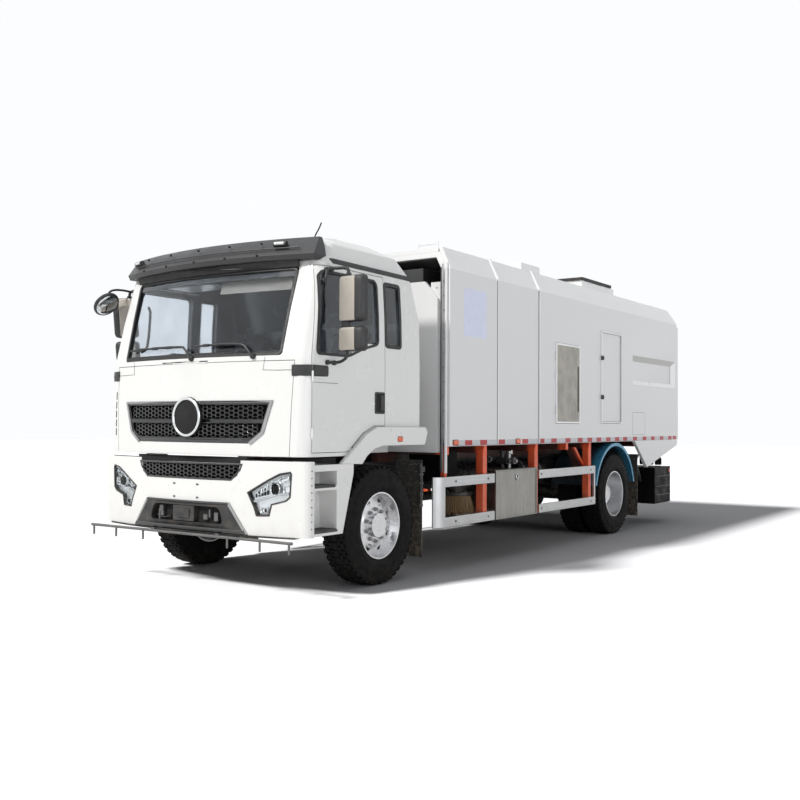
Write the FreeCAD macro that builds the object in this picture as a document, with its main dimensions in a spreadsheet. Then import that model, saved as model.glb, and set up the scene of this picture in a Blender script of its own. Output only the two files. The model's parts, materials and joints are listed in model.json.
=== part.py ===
import FreeCAD, Part
import math
import os
import Sketcher

# Street sweeper truck, a two-axle forward-control lorry with a closed sweeping body.
# Lengths are in millimetres. X runs to the vehicle's left, Y to its tail and Z up.
# The pieces are measured from the front axle and stand on the ground, and each one is then
# placed so that the origin lies under the middle of the whole vehicle.

DRIVING_SIZES = {
    # Stance and wheels
    "wheelbase": 5000,
    "tyre_radius": 506,
    "tyre_width": 276,
    "bead_radius": 286,
    "rim_wall": 12,
    "front_track": 2040,
    "rear_track": 2166,
    "twin_spacing": 310,
    "spindle_radius": 35,
    "rear_spindle_radius": 50,
    "kingpin_radius": 22,
    "kingpin_inset": 160,
    "running_fit": 0.05,
    # Ladder frame
    "rail_half": 425,
    "rail_flange": 80,
    "rail_top": 1000,
    "rail_height": 270,
    "rail_plate": 8,
    "rail_front": 960,
    "rail_rear": 6440,
    "crossmember": 80,
    # Bumper, steps and front fittings
    "bumper_nose": 1185,
    "bumper_half": 1200,
    "bumper_bow": 145,
    "bumper_wall": 60,
    "bumper_bottom": 490,
    "bumper_top": 1080,
    "bumper_return": 960,
    "bumper_corner": 70,
    "plate_hole": 5,
    "plate_spread": 272,
    "plate_rise": 108,
    "plate_middle": 820,
    "spray_radius": 12,
    "spray_height": 467,
    # Cab
    "cab_nose": 1160,
    "cab_tail": 580,
    "cab_half": 1170,
    "cab_floor": 1115,
    "cab_roof": 2930,
    "cab_wall": 50,
    "cab_corner": 110,
    "nose_bow": 124,
    "belt_height": 1900,
    "header_height": 2680,
    "header_lean": 206,
    "door_front": 955,
    "door_rear": 10,
    "door_sill": 1150,
    "door_top": 2640,
    "door_gap": 5,
    "window_bottom": 1935,
    "window_top": 2590,
    "glass_inset": 12,
    "glass_thickness": 8,
    "arch_top": 1353,
    "arch_underside": 1190,
    "knuckle_radius": 9,
    "wheel_rim": 220,
    # Sweeping body
    "box_front": 940,
    "box_tail": 7280,
    "box_half": 1250,
    "box_wall": 40,
    "box_floor": 1170,
    "box_shoulder": 2858,
    "box_roof": 3050,
    "roof_half": 1162,
    "tailgate_wall": 48,
    "tail_slope": 2824,
    "seal_gap": 0.5,
    # Service doors in the left wall
    "mesh_door_front": 3200,
    "mesh_door_width": 630,
    "mesh_door_bottom": 1395,
    "mesh_door_height": 906,
    "plain_door_front": 4470,
    "plain_door_width": 630,
    "plain_door_bottom": 1400,
    "plain_door_height": 1137,
    # Side guard and tool cabinet
    "guard_face": 1225,
    "guard_plate": 30,
    "guard_top": 885,
    "guard_bottom": 413,
    "guard_rail": 96,
    "cabinet_front": 1862,
    "cabinet_length": 918,
    "cabinet_bottom": 417,
    "cabinet_height": 498,
    # Sweeping gear
    "broom_radius": 190,
    "broom_x": 900,
    "broom_y": 1640,
    "broom_bottom": 480,
    "sweep_front": 6460,
    "sweep_length": 630,
    "sweep_bottom": 280,
    "sweep_top": 790,
    "sweep_half": 1200,
}

PLANES = {"XY": "XY_Plane", "XZ": "XZ_Plane", "YZ": "YZ_Plane"}
QUARTER_RISE = 1 - math.cos(math.pi / 4)


class Size:
    """A length known as a number and as the formula that the document keeps."""

    def __init__(self, value, text):
        self.value = float(value)
        self.text = text

    def __add__(self, other):
        other = sized(other)
        return Size(self.value + other.value, "(%s + %s)" % (self.text, other.text))

    def __sub__(self, other):
        other = sized(other)
        return Size(self.value - other.value, "(%s - %s)" % (self.text, other.text))

    def __mul__(self, other):
        other = sized(other)
        return Size(self.value * other.value, "(%s * %s)" % (self.text, other.text))

    def __truediv__(self, other):
        other = sized(other)
        return Size(self.value / other.value, "(%s / %s)" % (self.text, other.text))

    def __neg__(self):
        return Size(-self.value, "(0 - %s)" % self.text)

    def __radd__(self, other):
        return sized(other) + self

    def __rsub__(self, other):
        return sized(other) - self

    def __rmul__(self, other):
        return sized(other) * self


def sized(number):
    """A plain number as a size, or a size as it is."""
    return number if isinstance(number, Size) else Size(number, "(%s)" % repr(float(number)))


document = FreeCAD.newDocument("street_sweeper_truck")
sheet = document.addObject("Spreadsheet::Sheet", "sizes")
for row, (name, value) in enumerate(DRIVING_SIZES.items(), start=1):
    sheet.set("A%d" % row, name)
    sheet.set("B%d" % row, str(value))
    sheet.setAlias("B%d" % row, name)
document.recompute()


class Sizes:
    """The driving sizes by name, each bound to its cell."""

    def __getattr__(self, name):
        return Size(sheet.get(name), "sizes." + name)


s = Sizes()

# Where the vehicle's middle lies behind the front axle
spray_reach = s.bumper_nose + s.spray_radius * 2
tail_reach = s.box_tail + s.knuckle_radius
middle = (tail_reach - spray_reach) / 2

parts = {}


def keep(name, piece, shifted=True):
    """Name a finished sub-part and set it from the front axle to the vehicle's middle."""
    piece.Label = name
    if shifted:
        piece.setExpression("Placement.Base.y", (-middle).text)
    parts[name] = piece
    return piece


def place(piece, x, y, z):
    for axis, size in (("x", x), ("y", y), ("z", z)):
        piece.setExpression("Placement.Base." + axis, sized(size).text)


def block(x, y, z):
    """A box between two values along each axis."""
    box = document.addObject("Part::Box", "block")
    for edge, (low, high) in (("Length", x), ("Width", y), ("Height", z)):
        box.setExpression(edge, (sized(high) - sized(low)).text)
    place(box, x[0], y[0], z[0])
    return box


def rod(axis, centre, span, radius):
    """A round bar along one axis: its centre in the two other axes, and its two ends."""
    bar = document.addObject("Part::Cylinder", "rod")
    bar.setExpression("Radius", sized(radius).text)
    bar.setExpression("Height", (sized(span[1]) - sized(span[0])).text)
    if axis == "x":
        bar.Placement.Rotation = FreeCAD.Rotation(FreeCAD.Vector(0, 1, 0), 90)
        place(bar, span[0], centre[0], centre[1])
    elif axis == "y":
        bar.Placement.Rotation = FreeCAD.Rotation(FreeCAD.Vector(1, 0, 0), -90)
        place(bar, centre[0], span[0], centre[1])
    else:
        place(bar, centre[0], centre[1], span[0])
    return bar


def cut(base, *tools):
    result = document.addObject("Part::Cut", "cut")
    result.Base = base
    result.Tool = tools[0] if len(tools) == 1 else joined(*tools)
    return result


def joined(*tools):
    """Cutting tools in one, whether or not they touch."""
    result = document.addObject("Part::MultiFuse", "tools")
    result.Shapes = list(tools)
    return result


def fuse(*pieces):
    result = document.addObject("Part::MultiFuse", "fuse")
    result.Shapes = list(pieces)
    result.Refine = True
    return result


def common(base, tool):
    result = document.addObject("Part::Common", "common")
    result.Base = base
    result.Tool = tool
    return result


def group(*pieces):
    """Like pieces that stay apart in one node."""
    result = document.addObject("Part::Compound", "group")
    result.Links = list(pieces)
    return result


def mirror(piece):
    """The same piece on the vehicle's other side."""
    result = document.addObject("Part::Mirroring", "mirror")
    result.Source = piece
    result.Normal = (1, 0, 0)
    return result


def both(piece):
    return group(piece, mirror(piece))


def sketch_on(body, plane, level):
    sketch = body.newObject("Sketcher::SketchObject", "sketch")
    origin = next(part for part in body.Origin.OriginFeatures if part.Role == PLANES[plane])
    sketch.AttachmentSupport = [(origin, "")]
    sketch.MapMode = "FlatFace"
    offset = -sized(level) if plane == "XZ" else sized(level)
    sketch.setExpression("AttachmentOffset.Base.z", offset.text)
    return sketch


def draw(sketch, corners, closed=True):
    """Join the corners (u, v). A third value makes the side after a corner an arc of that
    rise, to the right of the way on."""
    corners = [tuple(sized(value) for value in corner) for corner in corners]
    sides = list(zip(corners, corners[1:] + corners[:1]))
    if not closed:
        sides.pop()
    ends = []
    for here, there in sides:
        start = FreeCAD.Vector(here[0].value, here[1].value, 0)
        finish = FreeCAD.Vector(there[0].value, there[1].value, 0)
        if len(here) == 2:
            ends.append((sketch.addGeometry(Part.LineSegment(start, finish), False), 1, 2))
            continue
        rise = here[2]
        along = finish - start
        right = FreeCAD.Vector(along.y, -along.x, 0).normalize()
        top = (start + finish) * 0.5 + right * rise.value
        if rise.value > 0:
            ends.append((sketch.addGeometry(Part.Arc(start, top, finish), False), 1, 2))
        else:
            ends.append((sketch.addGeometry(Part.Arc(finish, top, start), False), 2, 1))
            rise = -rise
        across, up = there[0] - here[0], there[1] - here[1]
        radius = ((across * across + up * up) / 4 + rise * rise) / (rise * 2)
        index = sketch.addConstraint(Sketcher.Constraint("Radius", ends[-1][0], radius.value))
        sketch.setExpression("Constraints[%d]" % index, radius.text)
    joints = zip(ends, ends[1:] + ends[:1]) if closed else zip(ends, ends[1:])
    for (side, _, last), (other, first, _) in joints:
        sketch.addConstraint(Sketcher.Constraint("Coincident", side, last, other, first))
    pins = [(side, first) for side, first, _ in ends]
    if not closed:
        pins.append((ends[-1][0], ends[-1][2]))
    for (side, end), corner in zip(pins, corners):
        for kind, size in (("DistanceX", corner[0]), ("DistanceY", corner[1])):
            index = sketch.addConstraint(Sketcher.Constraint(kind, -1, 1, side, end, size.value))
            sketch.setExpression("Constraints[%d]" % index, size.text)
    return sketch


def prism(plane, corners, span):
    """An outline in a plane, padded between two values along the third axis."""
    body = document.addObject("PartDesign::Body", "prism")
    sketch = draw(sketch_on(body, plane, span[0]), corners)
    pad = body.newObject("PartDesign::Pad", "pad")
    pad.Profile = sketch
    pad.Reversed = plane == "XZ"
    pad.setExpression("Length", (sized(span[1]) - sized(span[0])).text)
    body.Tip = pad
    return body


def loft(sections, plane="XY"):
    """Straight walls through outlines in parallel planes, each given as its level and its corners."""
    body = document.addObject("PartDesign::Body", "loft")
    sketches = [draw(sketch_on(body, plane, level), corners) for level, corners in sections]
    skin = body.newObject("PartDesign::AdditiveLoft", "skin")
    skin.Profile = sketches[0]
    skin.Sections = sketches[1:]
    skin.Ruled = True
    body.Tip = skin
    return body


def turned(corners, x, y, z):
    """An outline of (distance along the axle, radius) turned about the axle line."""
    body = document.addObject("PartDesign::Body", "turned")
    sketch = draw(sketch_on(body, "XY", 0), corners)
    spin = body.newObject("PartDesign::Revolution", "spin")
    spin.Profile = sketch
    spin.ReferenceAxis = (sketch, ["H_Axis"])
    spin.Angle = 360
    body.Tip = spin
    place(body, x, y, z)
    return body


def rounded(low, high, radius):
    """The corners of a rectangle with round corners, from its lowest to its highest point."""
    u0, v0, u1, v1 = [sized(value) for value in (*low, *high)]
    r = sized(radius)
    rise = r * QUARTER_RISE
    return [(u0 + r, v0), (u1 - r, v0, rise), (u1, v0 + r), (u1, v1 - r, rise),
            (u1 - r, v1), (u0 + r, v1, rise), (u0, v1 - r), (u0, v0 + r, rise)]


# Wheels

front_wheel_x = s.front_track / 2
rear_wheel_x = s.rear_track / 2
kingpin_x = front_wheel_x - s.kingpin_inset
axle_height = s.tyre_radius


def tyre():
    """One tyre, a plain band of few faces: its tread blocks and bulging walls are a matter of finish."""
    half = s.tyre_width / 2
    bead = s.bead_radius + 0.2
    return turned([(-half, bead), (half, bead), (half, s.tyre_radius), (-half, s.tyre_radius)],
                  sized(0), sized(0), axle_height)


def barrel(x, y):
    """The wheel's band, with a shallow drop centre."""
    lip = s.tyre_width / 2 - 16.5
    seat = lip - 40
    outer = s.bead_radius
    inner = outer - s.rim_wall
    return turned([(-lip, inner), (lip, inner), (lip, outer), (seat, outer), (seat - 20, outer - 4),
                   (20 - seat, outer - 4), (-seat, outer), (-lip, outer)], x, y, axle_height)


def ring_of_holes(disc, x_span, y, pitch_radius, hole_radius, count):
    """Hand holes evenly round a wheel disc."""
    turns = [2 * math.pi * (step + 0.5) / count for step in range(count)]
    centres = [(y + pitch_radius * math.cos(turn), axle_height + pitch_radius * math.sin(turn))
               for turn in turns]
    return cut(disc, group(*[rod("x", centre, x_span, hole_radius) for centre in centres]))


def front_rim():
    """A disc bulging outwards, its hub, and the brake drum behind it."""
    x = front_wheel_x
    inner = s.bead_radius - s.rim_wall
    plate = turned([(8, inner + 2), (22, inner + 2), (62, 170), (62, 100), (48, 100), (48, 168)],
                   x, 0, axle_height)
    plate = ring_of_holes(plate, (x, x + 80), 0, sized(212), 26, 8)
    hub = rod("x", (0, axle_height), (x - 50, x + 105), 102)
    drum = cut(rod("x", (0, axle_height), (x - 70, x + 50), 200),
               rod("x", (0, axle_height), (x - 71, x + 36), 186))
    whole = fuse(barrel(x, sized(0)), plate, hub, drum)
    bore = rod("x", (0, axle_height), (x - 51, x + 65), s.spindle_radius + s.running_fit)
    return cut(whole, bore)


def rear_rims():
    """Two deep dishes back to back on one hub, which runs on the axle's spindle."""
    outer_x = rear_wheel_x
    inner_x = rear_wheel_x - s.twin_spacing
    flange_x = rear_wheel_x - s.twin_spacing / 2
    inner = s.bead_radius - s.rim_wall
    reach = s.twin_spacing / 2
    dish = [(-92, inner + 2), (-78, inner + 2), (14 - reach, 150), (14 - reach, 90), (-reach, 90),
            (-reach, 148)]
    dishes = []
    for x, side in ((outer_x, 1), (inner_x, -1)):
        outline = [(side * sized(corner[0]), corner[1]) for corner in dish]
        if side < 0:
            outline.reverse()
        plate = turned(outline, x, s.wheelbase, axle_height)
        span = (flange_x, x) if side > 0 else (x, flange_x)
        dishes.append(ring_of_holes(plate, span, s.wheelbase, sized(212), 26, 8))
    hub = rod("x", (s.wheelbase, axle_height), (inner_x - 40, outer_x + 30), 92)
    drum = cut(rod("x", (s.wheelbase, axle_height), (inner_x - 70, flange_x), 200),
               rod("x", (s.wheelbase, axle_height), (inner_x - 71, flange_x - 14), 186))
    whole = fuse(barrel(outer_x, s.wheelbase), barrel(inner_x, s.wheelbase), *dishes, hub, drum)
    bore = rod("x", (s.wheelbase, axle_height), (inner_x - 41, outer_x),
               s.rear_spindle_radius + s.running_fit)
    return cut(whole, bore)


def set_at(piece, x, y):
    """The same piece again at another place."""
    holder = group(piece)
    place(holder, x, y, 0)
    return holder


def wheels():
    rubber = tyre()
    left = {"front_tyre": set_at(rubber, front_wheel_x, 0), "front_rim": front_rim(),
            "rear_tyres": group(set_at(rubber, rear_wheel_x, s.wheelbase),
                                set_at(rubber, rear_wheel_x - s.twin_spacing, s.wheelbase)),
            "rear_rims": rear_rims()}
    for name, piece in left.items():
        keep_pair(name, piece)


def keep_pair(name, piece):
    """A left piece and its mirrored right one, each a node of its own."""
    holder = group(piece)
    keep(name + "_left", holder)
    keep(name + "_right", mirror(holder), shifted=False)


# Axles and steering

eye_bottom = axle_height - 106
eye_top = axle_height - 26


def leaf_spring(y, low, bow):
    """A bowed pack of leaves with its two hangers, under the left rail."""
    half_length, pack = sized(750), sized(55)
    inner, outer = s.rail_half - 60, s.rail_half + 20
    band = prism("YZ", [(y - half_length, low + bow, bow), (y + half_length, low + bow),
                        (y + half_length, low + bow + pack, -bow), (y - half_length, low + bow + pack)],
                 (inner, outer))
    hangers = [block((inner + 10, s.rail_half), (y + end - 35, y + end + 35),
                     (low + bow + pack - 25, s.rail_top - s.rail_height))
               for end in (-half_length + 40, half_length - 40)]
    return [band] + hangers


def front_axle():
    """A forged beam with an eye for each kingpin, and the two springs on it."""
    beam = [block((-kingpin_x, kingpin_x), (-45, 45), (eye_bottom, eye_top))]
    low = eye_top + 30
    for side in (1, -1):
        beam.append(rod("z", (side * kingpin_x, 0), (eye_bottom, eye_top), 50))
        seat = (s.rail_half - 70, s.rail_half + 30)
        x = seat if side > 0 else (-seat[1], -seat[0])
        beam.append(block(x, (-70, 70), (eye_top, low + 20)))
    left = leaf_spring(sized(0), low, sized(90))
    springs = fuse(*left)
    whole = fuse(*beam, springs, mirror(springs))
    bores = [rod("z", (side * kingpin_x, 0), (eye_bottom - 1, eye_top + 1),
                 s.kingpin_radius + s.running_fit) for side in (1, -1)]
    keep("front_axle", cut(whole, *bores))


def knuckle():
    """The steered fork, its kingpin through the beam's eye and the wheel's spindle."""
    ear_x = (kingpin_x - 40, kingpin_x + 70)
    ears = [block(ear_x, (-45, 45), (eye_top + 8, eye_top + 50)),
            block(ear_x, (-45, 45), (eye_bottom - 50, eye_bottom - 8))]
    upright = block((kingpin_x + 58, kingpin_x + 80), (-90, 90), (eye_bottom - 50, axle_height + 120))
    pin = rod("z", (kingpin_x, 0), (eye_bottom - 50, eye_top + 50), s.kingpin_radius)
    spindle = rod("x", (0, axle_height), (kingpin_x + 70, front_wheel_x + 60), s.spindle_radius)
    arm = block((kingpin_x - 40, kingpin_x - 5), (40, 190), (eye_bottom - 50, eye_bottom - 15))
    keep_pair("steering_knuckle", fuse(*ears, upright, pin, spindle, arm))


def rear_axle():
    """The driven axle's tube, differential and springs, and the propeller shaft to it."""
    y = s.wheelbase
    inner_x = rear_wheel_x - s.twin_spacing
    tube_end = inner_x - 75
    pieces = [rod("x", (y, axle_height), (-tube_end, tube_end), 75),
              rod("x", (y, axle_height), (-(rear_wheel_x - 20), rear_wheel_x - 20), s.rear_spindle_radius),
              rod("x", (y, axle_height), (-130, 130), 210),
              rod("y", (0, axle_height + 60), (y - 330, y - 150), 90),
              rod("y", (0, axle_height + 60), (1150, y - 320), 50)]
    low = axle_height + 75 + 15
    for side in (1, -1):
        seat = (s.rail_half - 70, s.rail_half + 30)
        x = seat if side > 0 else (-seat[1], -seat[0])
        pieces.append(block(x, (y - 70, y + 70), (axle_height + 40, low + 20)))
    springs = fuse(*leaf_spring(y, low, sized(60)))
    keep("rear_axle", fuse(*pieces, springs, mirror(springs)))


# Chassis

def channel():
    """The left rail, a channel open towards the middle."""
    outer, inner, plate = s.rail_half, s.rail_half - s.rail_flange, s.rail_plate
    top, bottom = s.rail_top, s.rail_top - s.rail_height
    return prism("XZ", [(inner, bottom), (outer, bottom), (outer, top), (inner, top),
                        (inner, top - plate), (outer - plate, top - plate),
                        (outer - plate, bottom + plate), (inner, bottom + plate)],
                 (-s.rail_front, s.rail_rear))


def mudflap_bars():
    """The arms that carry the mudflaps, behind each axle."""
    bars = []
    for y, reach in ((front_flap_y, 1155), (rear_flap_y, 1220)):
        for side in (1, -1):
            x = (s.rail_half - 4, sized(reach)) if side > 0 else (-sized(reach), 4 - s.rail_half)
            bars.append(block(x, (y + 10, y + 50), (s.rail_top - 60, s.rail_top - 10)))
    return bars


front_flap_y = s.tyre_radius + 114
rear_flap_y = s.wheelbase + s.tyre_radius + 244


def frame_rails():
    left = channel()
    web = s.rail_half - 4
    middles = (40 - s.rail_front, 1300, 2500, 3700, s.wheelbase - 480, s.wheelbase + 480,
               s.rail_rear - 60)
    crossmembers = [block((-web, web), (sized(y) - s.crossmember / 2, sized(y) + s.crossmember / 2),
                          (s.rail_top - s.rail_height + 30, s.rail_top - 40)) for y in middles]
    brackets = fuse(*broom_brackets())
    keep("frame_rails", fuse(left, mirror(left), *crossmembers, *mudflap_bars(), brackets, mirror(brackets)))


def engine():
    """The engine and gearbox as plain masses, on mounts that stand on the rails."""
    shelf = s.rail_top - s.rail_height + s.rail_plate
    web = s.rail_half - s.rail_plate
    keep("engine", fuse(block((-290, 290), (-700, 450), (600, 1060)),
                        block((-180, 180), (440, 1150), (620, 900)),
                        block((-web, web), (-150, -50), (shelf, shelf + 60))))


def fuel_tank():
    """The right side's tank and the two straps that carry it."""
    front, length = s.broom_y + 360, sized(1000)
    inner, outer = s.rail_half + 90, sized(1110)
    tank = prism("XZ", rounded((-outer, 470), (-inner, 930), 90), (front, front + length))
    straps = [block((-inner - 200, -s.rail_half), (front + y - 30, front + y + 30), (800, 860))
              for y in (200, 800)]
    keep("fuel_tank", fuse(tank, *straps))


def bumper_plan(recess):
    """The bumper seen from above, with its face set back by a recess."""
    half, side, back = s.bumper_half, s.bumper_nose - s.bumper_bow, s.bumper_return
    wall, bow, corner = s.bumper_wall, s.bumper_bow, s.bumper_corner
    r = sized(recess)
    round_off = corner * (2 ** 0.5) * (2 ** 0.5 - 1) / 2
    return [(corner - half, r - side, bow), (half - corner, r - side, round_off),
            (half, r + corner - side), (half, -back), (half - wall, -back, 5 - bow),
            (wall - half, -back), (-half, -back), (-half, r + corner - side, round_off)]


def bumper_band(recess):
    return prism("XY", bumper_plan(recess), (s.bumper_bottom, s.bumper_top))


BUMPER_GRILLE = [(-500, 920), (500, 920), (560, 960), (590, 1062), (-590, 1062), (-560, 960)]
GRILLE_NOTCH = [(-500, 920), (500, 920), (560, 960), (590, 1062), (590, 1100), (-590, 1100), (-590, 1062),
                (-560, 960)]
GRILLE_SLOTS = ((938, 480), (975, 535), (1012, 550))
SLOT_HEIGHT = 24
LOWER_INSERT = [(-671, 480), (671, 480), (477, 739), (-477, 739)]
INSERT_WINDOW = [(-470, 575), (450, 575, 20), (490, 610), (420, 700, 20), (390, 715), (-390, 715, 20),
                 (-420, 700), (-490, 610, 20)]
HEADLAMP = [(741, 643), (862, 648), (885, 736), (1007, 768), (1045, 799), (1056, 982), (1043, 1003),
            (949, 987), (847, 937), (654, 830), (717, 711)]


def front_prism(corners):
    """A front-view outline that runs through the bumper or the cab's face."""
    return prism("XZ", corners, (-s.bumper_nose - 100, -s.bumper_return + 90))


def bumper():
    notch, grille, insert, lamp = [front_prism(corners) for corners in
                                   (GRILLE_NOTCH, BUMPER_GRILLE, LOWER_INSERT, HEADLAMP)]
    other_lamp = mirror(lamp)
    shell = bumper_band(0)
    holes = [rod("y", (x, z), (-s.bumper_nose - 50, 20 - s.bumper_return), s.plate_hole)
             for x in (-s.plate_spread / 2, s.plate_spread / 2)
             for z in (s.plate_middle - s.plate_rise / 2, s.plate_middle + s.plate_rise / 2)]
    keep("bumper", cut(shell, notch, insert, lamp, other_lamp, *holes))
    slots = [block((-reach, reach), (-s.bumper_nose - 10, -s.bumper_return), (z, z + SLOT_HEIGHT))
             for z, reach in GRILLE_SLOTS]
    barred = cut(common(bumper_band(12), grille), group(*slots))
    window = prism("XZ", INSERT_WINDOW, (-s.bumper_nose - 100, -s.bumper_nose + 75))
    keep("bumper_grille", group(barred, cut(common(bumper_band(0), insert), window)))
    recessed = bumper_band(6)
    keep("headlamps", group(common(recessed, lamp), common(recessed, other_lamp)))


def spray_bar():
    """The water bar under the bumper, its nozzles and its two hangers."""
    y, z = -(s.bumper_nose + s.spray_radius), s.spray_height
    pieces = [rod("x", (y, z), (-1180, 1180), s.spray_radius)]
    for x in (-1150, -850, -500, 500, 850, 1150):
        pieces.append(rod("z", (x, y), (z - 85, z), 9))
    for x in (-380, 380):
        pieces.append(block((x - 20, x + 20), (y, y + 80), (z + 3, s.bumper_bottom)))
    keep("spray_bar", fuse(*pieces))


def cab_steps():
    """The white fairing below the door with its two treads, open behind for the wheel."""
    face, skin = s.cab_half, 35
    front, rear = s.bumper_return, sized(620)
    outer = prism("YZ", [(-front, 490), (-565, 490), (-425, 970), (-425, 1050), (-front, 1050)],
                  (face - skin, face))
    box = block((face - 220, face - skin), (-front, -rear), (490, 1050))
    wells = [block((face - 180, face + 1), (10 - front, -rear - 25), span)
             for span in ((529, 850), (880, 1000))]
    hanger = block((s.rail_half, face - 200), (-900, -840), (900, 960))
    keep("cab_steps", both(fuse(cut(fuse(outer, box), *wells), hanger)))


def mudflaps():
    front = block((860, 1155), (front_flap_y, front_flap_y + 10), (170, s.rail_top + 50))
    rear = block((640, 1220), (rear_flap_y, rear_flap_y + 10), (170, s.rail_top - 20))
    keep("mudflaps", group(both(front), both(rear)))


def rear_fenders():
    """The curved guard over each pair of rear wheels, with its outer lip."""
    y, z = s.wheelbase, axle_height
    outer, sheet_wall = s.tyre_radius + 134, 12
    inner_x = rear_wheel_x - s.twin_spacing - s.tyre_width / 2 - 5
    outer_x = rear_wheel_x + s.tyre_width / 2 + 4
    band = cut(rod("x", (y, z), (inner_x, outer_x), outer),
               rod("x", (y, z), (inner_x - 1, outer_x + 1), outer - sheet_wall))
    lip = cut(rod("x", (y, z), (outer_x - 12, outer_x), outer),
              rod("x", (y, z), (outer_x - 13, outer_x + 1), outer - 34))
    bracket = block((s.rail_half, inner_x + 60), (y + 390, y + 425), (s.rail_top - 40, s.rail_top))
    below = block((0, 1500), (y - 700, y + 700), (-200, z + 130))
    keep("rear_fenders", both(cut(fuse(band, lip, bracket), below)))


# Body of the sweeper

wall_rear = s.box_tail - s.tailgate_wall - s.seal_gap
guard_back = s.guard_face - s.guard_plate
post_front = sized(1115)
guard_end = s.wheelbase - 645


def subframe():
    """Orange longitudinals on the rails, bearers under the floor and the hanging posts."""
    inner, outer = s.rail_half - s.rail_flange, s.rail_half
    deck = s.box_floor
    middles = (s.box_front + 40, 1700, s.cabinet_front + s.cabinet_length + 45, 3600,
               s.wheelbase - 750, s.wheelbase + 900, wall_rear - 60)
    pieces = []
    for side in (1, -1):
        x = (inner, outer) if side > 0 else (-outer, -inner)
        pieces.append(block(x, (s.box_front, wall_rear), (s.rail_top, deck)))
    reach = s.box_half - 50
    for y in middles:
        pieces.append(block((-reach, reach), (sized(y) - 30, sized(y) + 30), (deck - 80, deck)))
    for y in middles[1:3] + (middles[4],):
        for side in (1, -1):
            x = (post_front, guard_back) if side > 0 else (-guard_back, -post_front)
            pieces.append(block(x, (sized(y) - 40, sized(y) + 40), (s.guard_bottom, deck - 40)))
    brace_y = s.wheelbase - 750
    brace = prism("YZ", [(brace_y - 300, deck - 60), (brace_y - 240, deck - 60), (brace_y, 900),
                         (brace_y, 850)], (1000, post_front + 10))
    front_posts = [block((1146, 1190), (s.box_front + 10, s.box_front + 50), (s.guard_top, deck - 40)),
                   block((-1190, -1146), (s.box_front + 10, s.box_front + 50), (s.guard_top, deck - 40))]
    keep("subframe", fuse(*pieces, brace, mirror(brace), *front_posts))


def guard_half(cabinet):
    """One side's rails, with the bent plate at the front and a post at the rear."""
    low, high, rail = s.guard_bottom, s.guard_top, s.guard_rail
    face, back = s.guard_face, guard_back
    front_end = s.cabinet_front - 8 if cabinet else guard_end
    sections = [(sized(910), front_end)]
    if cabinet:
        sections.append((s.cabinet_front + s.cabinet_length + 70, guard_end))
    plate = prism("XY", [(1140, 805), (1160, 790, 22), (face, 910), (back, 910, -16)], (low, high))
    pieces = [plate]
    for start, finish in sections:
        for z in (low, high - rail):
            pieces.append(block((back, face), (start, finish), (z, z + rail)))
    pieces.append(block((back, face), (guard_end - 30, guard_end), (low, high)))
    return pieces


def side_guards():
    left = guard_half(True)
    right = mirror(fuse(*guard_half(False)))
    front = fuse(*left[:3])
    rear = fuse(*left[3:])
    keep("side_guards", group(front, rear, right))


def tool_cabinet():
    """The box behind the bright door, open outwards, and the door that drops down."""
    front, rear = s.cabinet_front + 10, s.cabinet_front + s.cabinet_length + 5
    low, high = s.cabinet_bottom + 14, s.cabinet_bottom + s.cabinet_height - 10
    face = guard_back - s.seal_gap
    keep("tool_cabinet", group(cut(block((760, face), (front, rear), (low, high)),
                                   block((775, face + 1), (front + 15, rear - 15), (low + 15, high - 15)))))
    hinge = rod("y", (s.guard_face, s.cabinet_bottom), (front + 40, rear - 40), 6)
    door = block((guard_back, s.guard_face), (s.cabinet_front, s.cabinet_front + s.cabinet_length),
                 (s.cabinet_bottom, s.cabinet_bottom + s.cabinet_height))
    keep("cabinet_door", fuse(door, hinge))


def body_outline_cut():
    """The body's side outline with its sloping rear top corner, for trimming walls and roof."""
    return prism("YZ", [(s.box_front, 700), (wall_rear, 700), (wall_rear, s.tail_slope),
                        (wall_rear - 40, s.tail_slope + 90), (wall_rear - 170, s.box_roof),
                        (s.box_front, s.box_roof)], (-1400, 1400))


def door_prism(front, width, low, height, gap):
    """A service door's outline through the left wall, grown by a gap."""
    g = sized(gap)
    return block((s.box_half - s.box_wall - 1, s.box_half + 1), (front - g, front + width + g),
                 (low - g, low + height + g))


def knuckle_rods(centre, heights, radius):
    return [rod("z", centre, (sized(z) - 40, sized(z) + 40), radius) for z in heights]


MESH_HINGES = (1550, 2150)
PLAIN_HINGES = (1700, 2250)


def service_hinges(front, heights, extra):
    return knuckle_rods((s.box_half + 2, front - 2.5), heights, s.knuckle_radius + extra)


def body_sides():
    """Side walls with their sloping shoulder and the wedge plate ahead of the tail."""
    wall, half, roof = s.box_wall, s.box_half, s.box_roof
    section = [(half - wall, s.box_floor), (half, s.box_floor), (half, s.box_shoulder),
               (s.roof_half, roof), (s.roof_half - 44, roof), (half - wall, s.box_shoulder - 9)]
    wedge = prism("YZ", [(s.wheelbase + 579, s.box_floor + 2), (s.wheelbase + 1030, 810),
                         (wall_rear, 1092), (wall_rear, s.box_floor + 2)], (half - wall, half))
    left = fuse(common(prism("XZ", section, (s.box_front, s.box_tail)), body_outline_cut()), wedge)
    right = mirror(left)
    recess = pressed_recess()
    left = cut(left, recess, *[door_prism(*sizes, s.door_gap) for sizes in service_door_sizes()],
               *service_hinges(s.mesh_door_front, MESH_HINGES, 0.3),
               *service_hinges(s.plain_door_front, PLAIN_HINGES, 0.3))
    keep("body_side_left", left)
    keep("body_side_right", group(cut(right, mirror(recess))))


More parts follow.
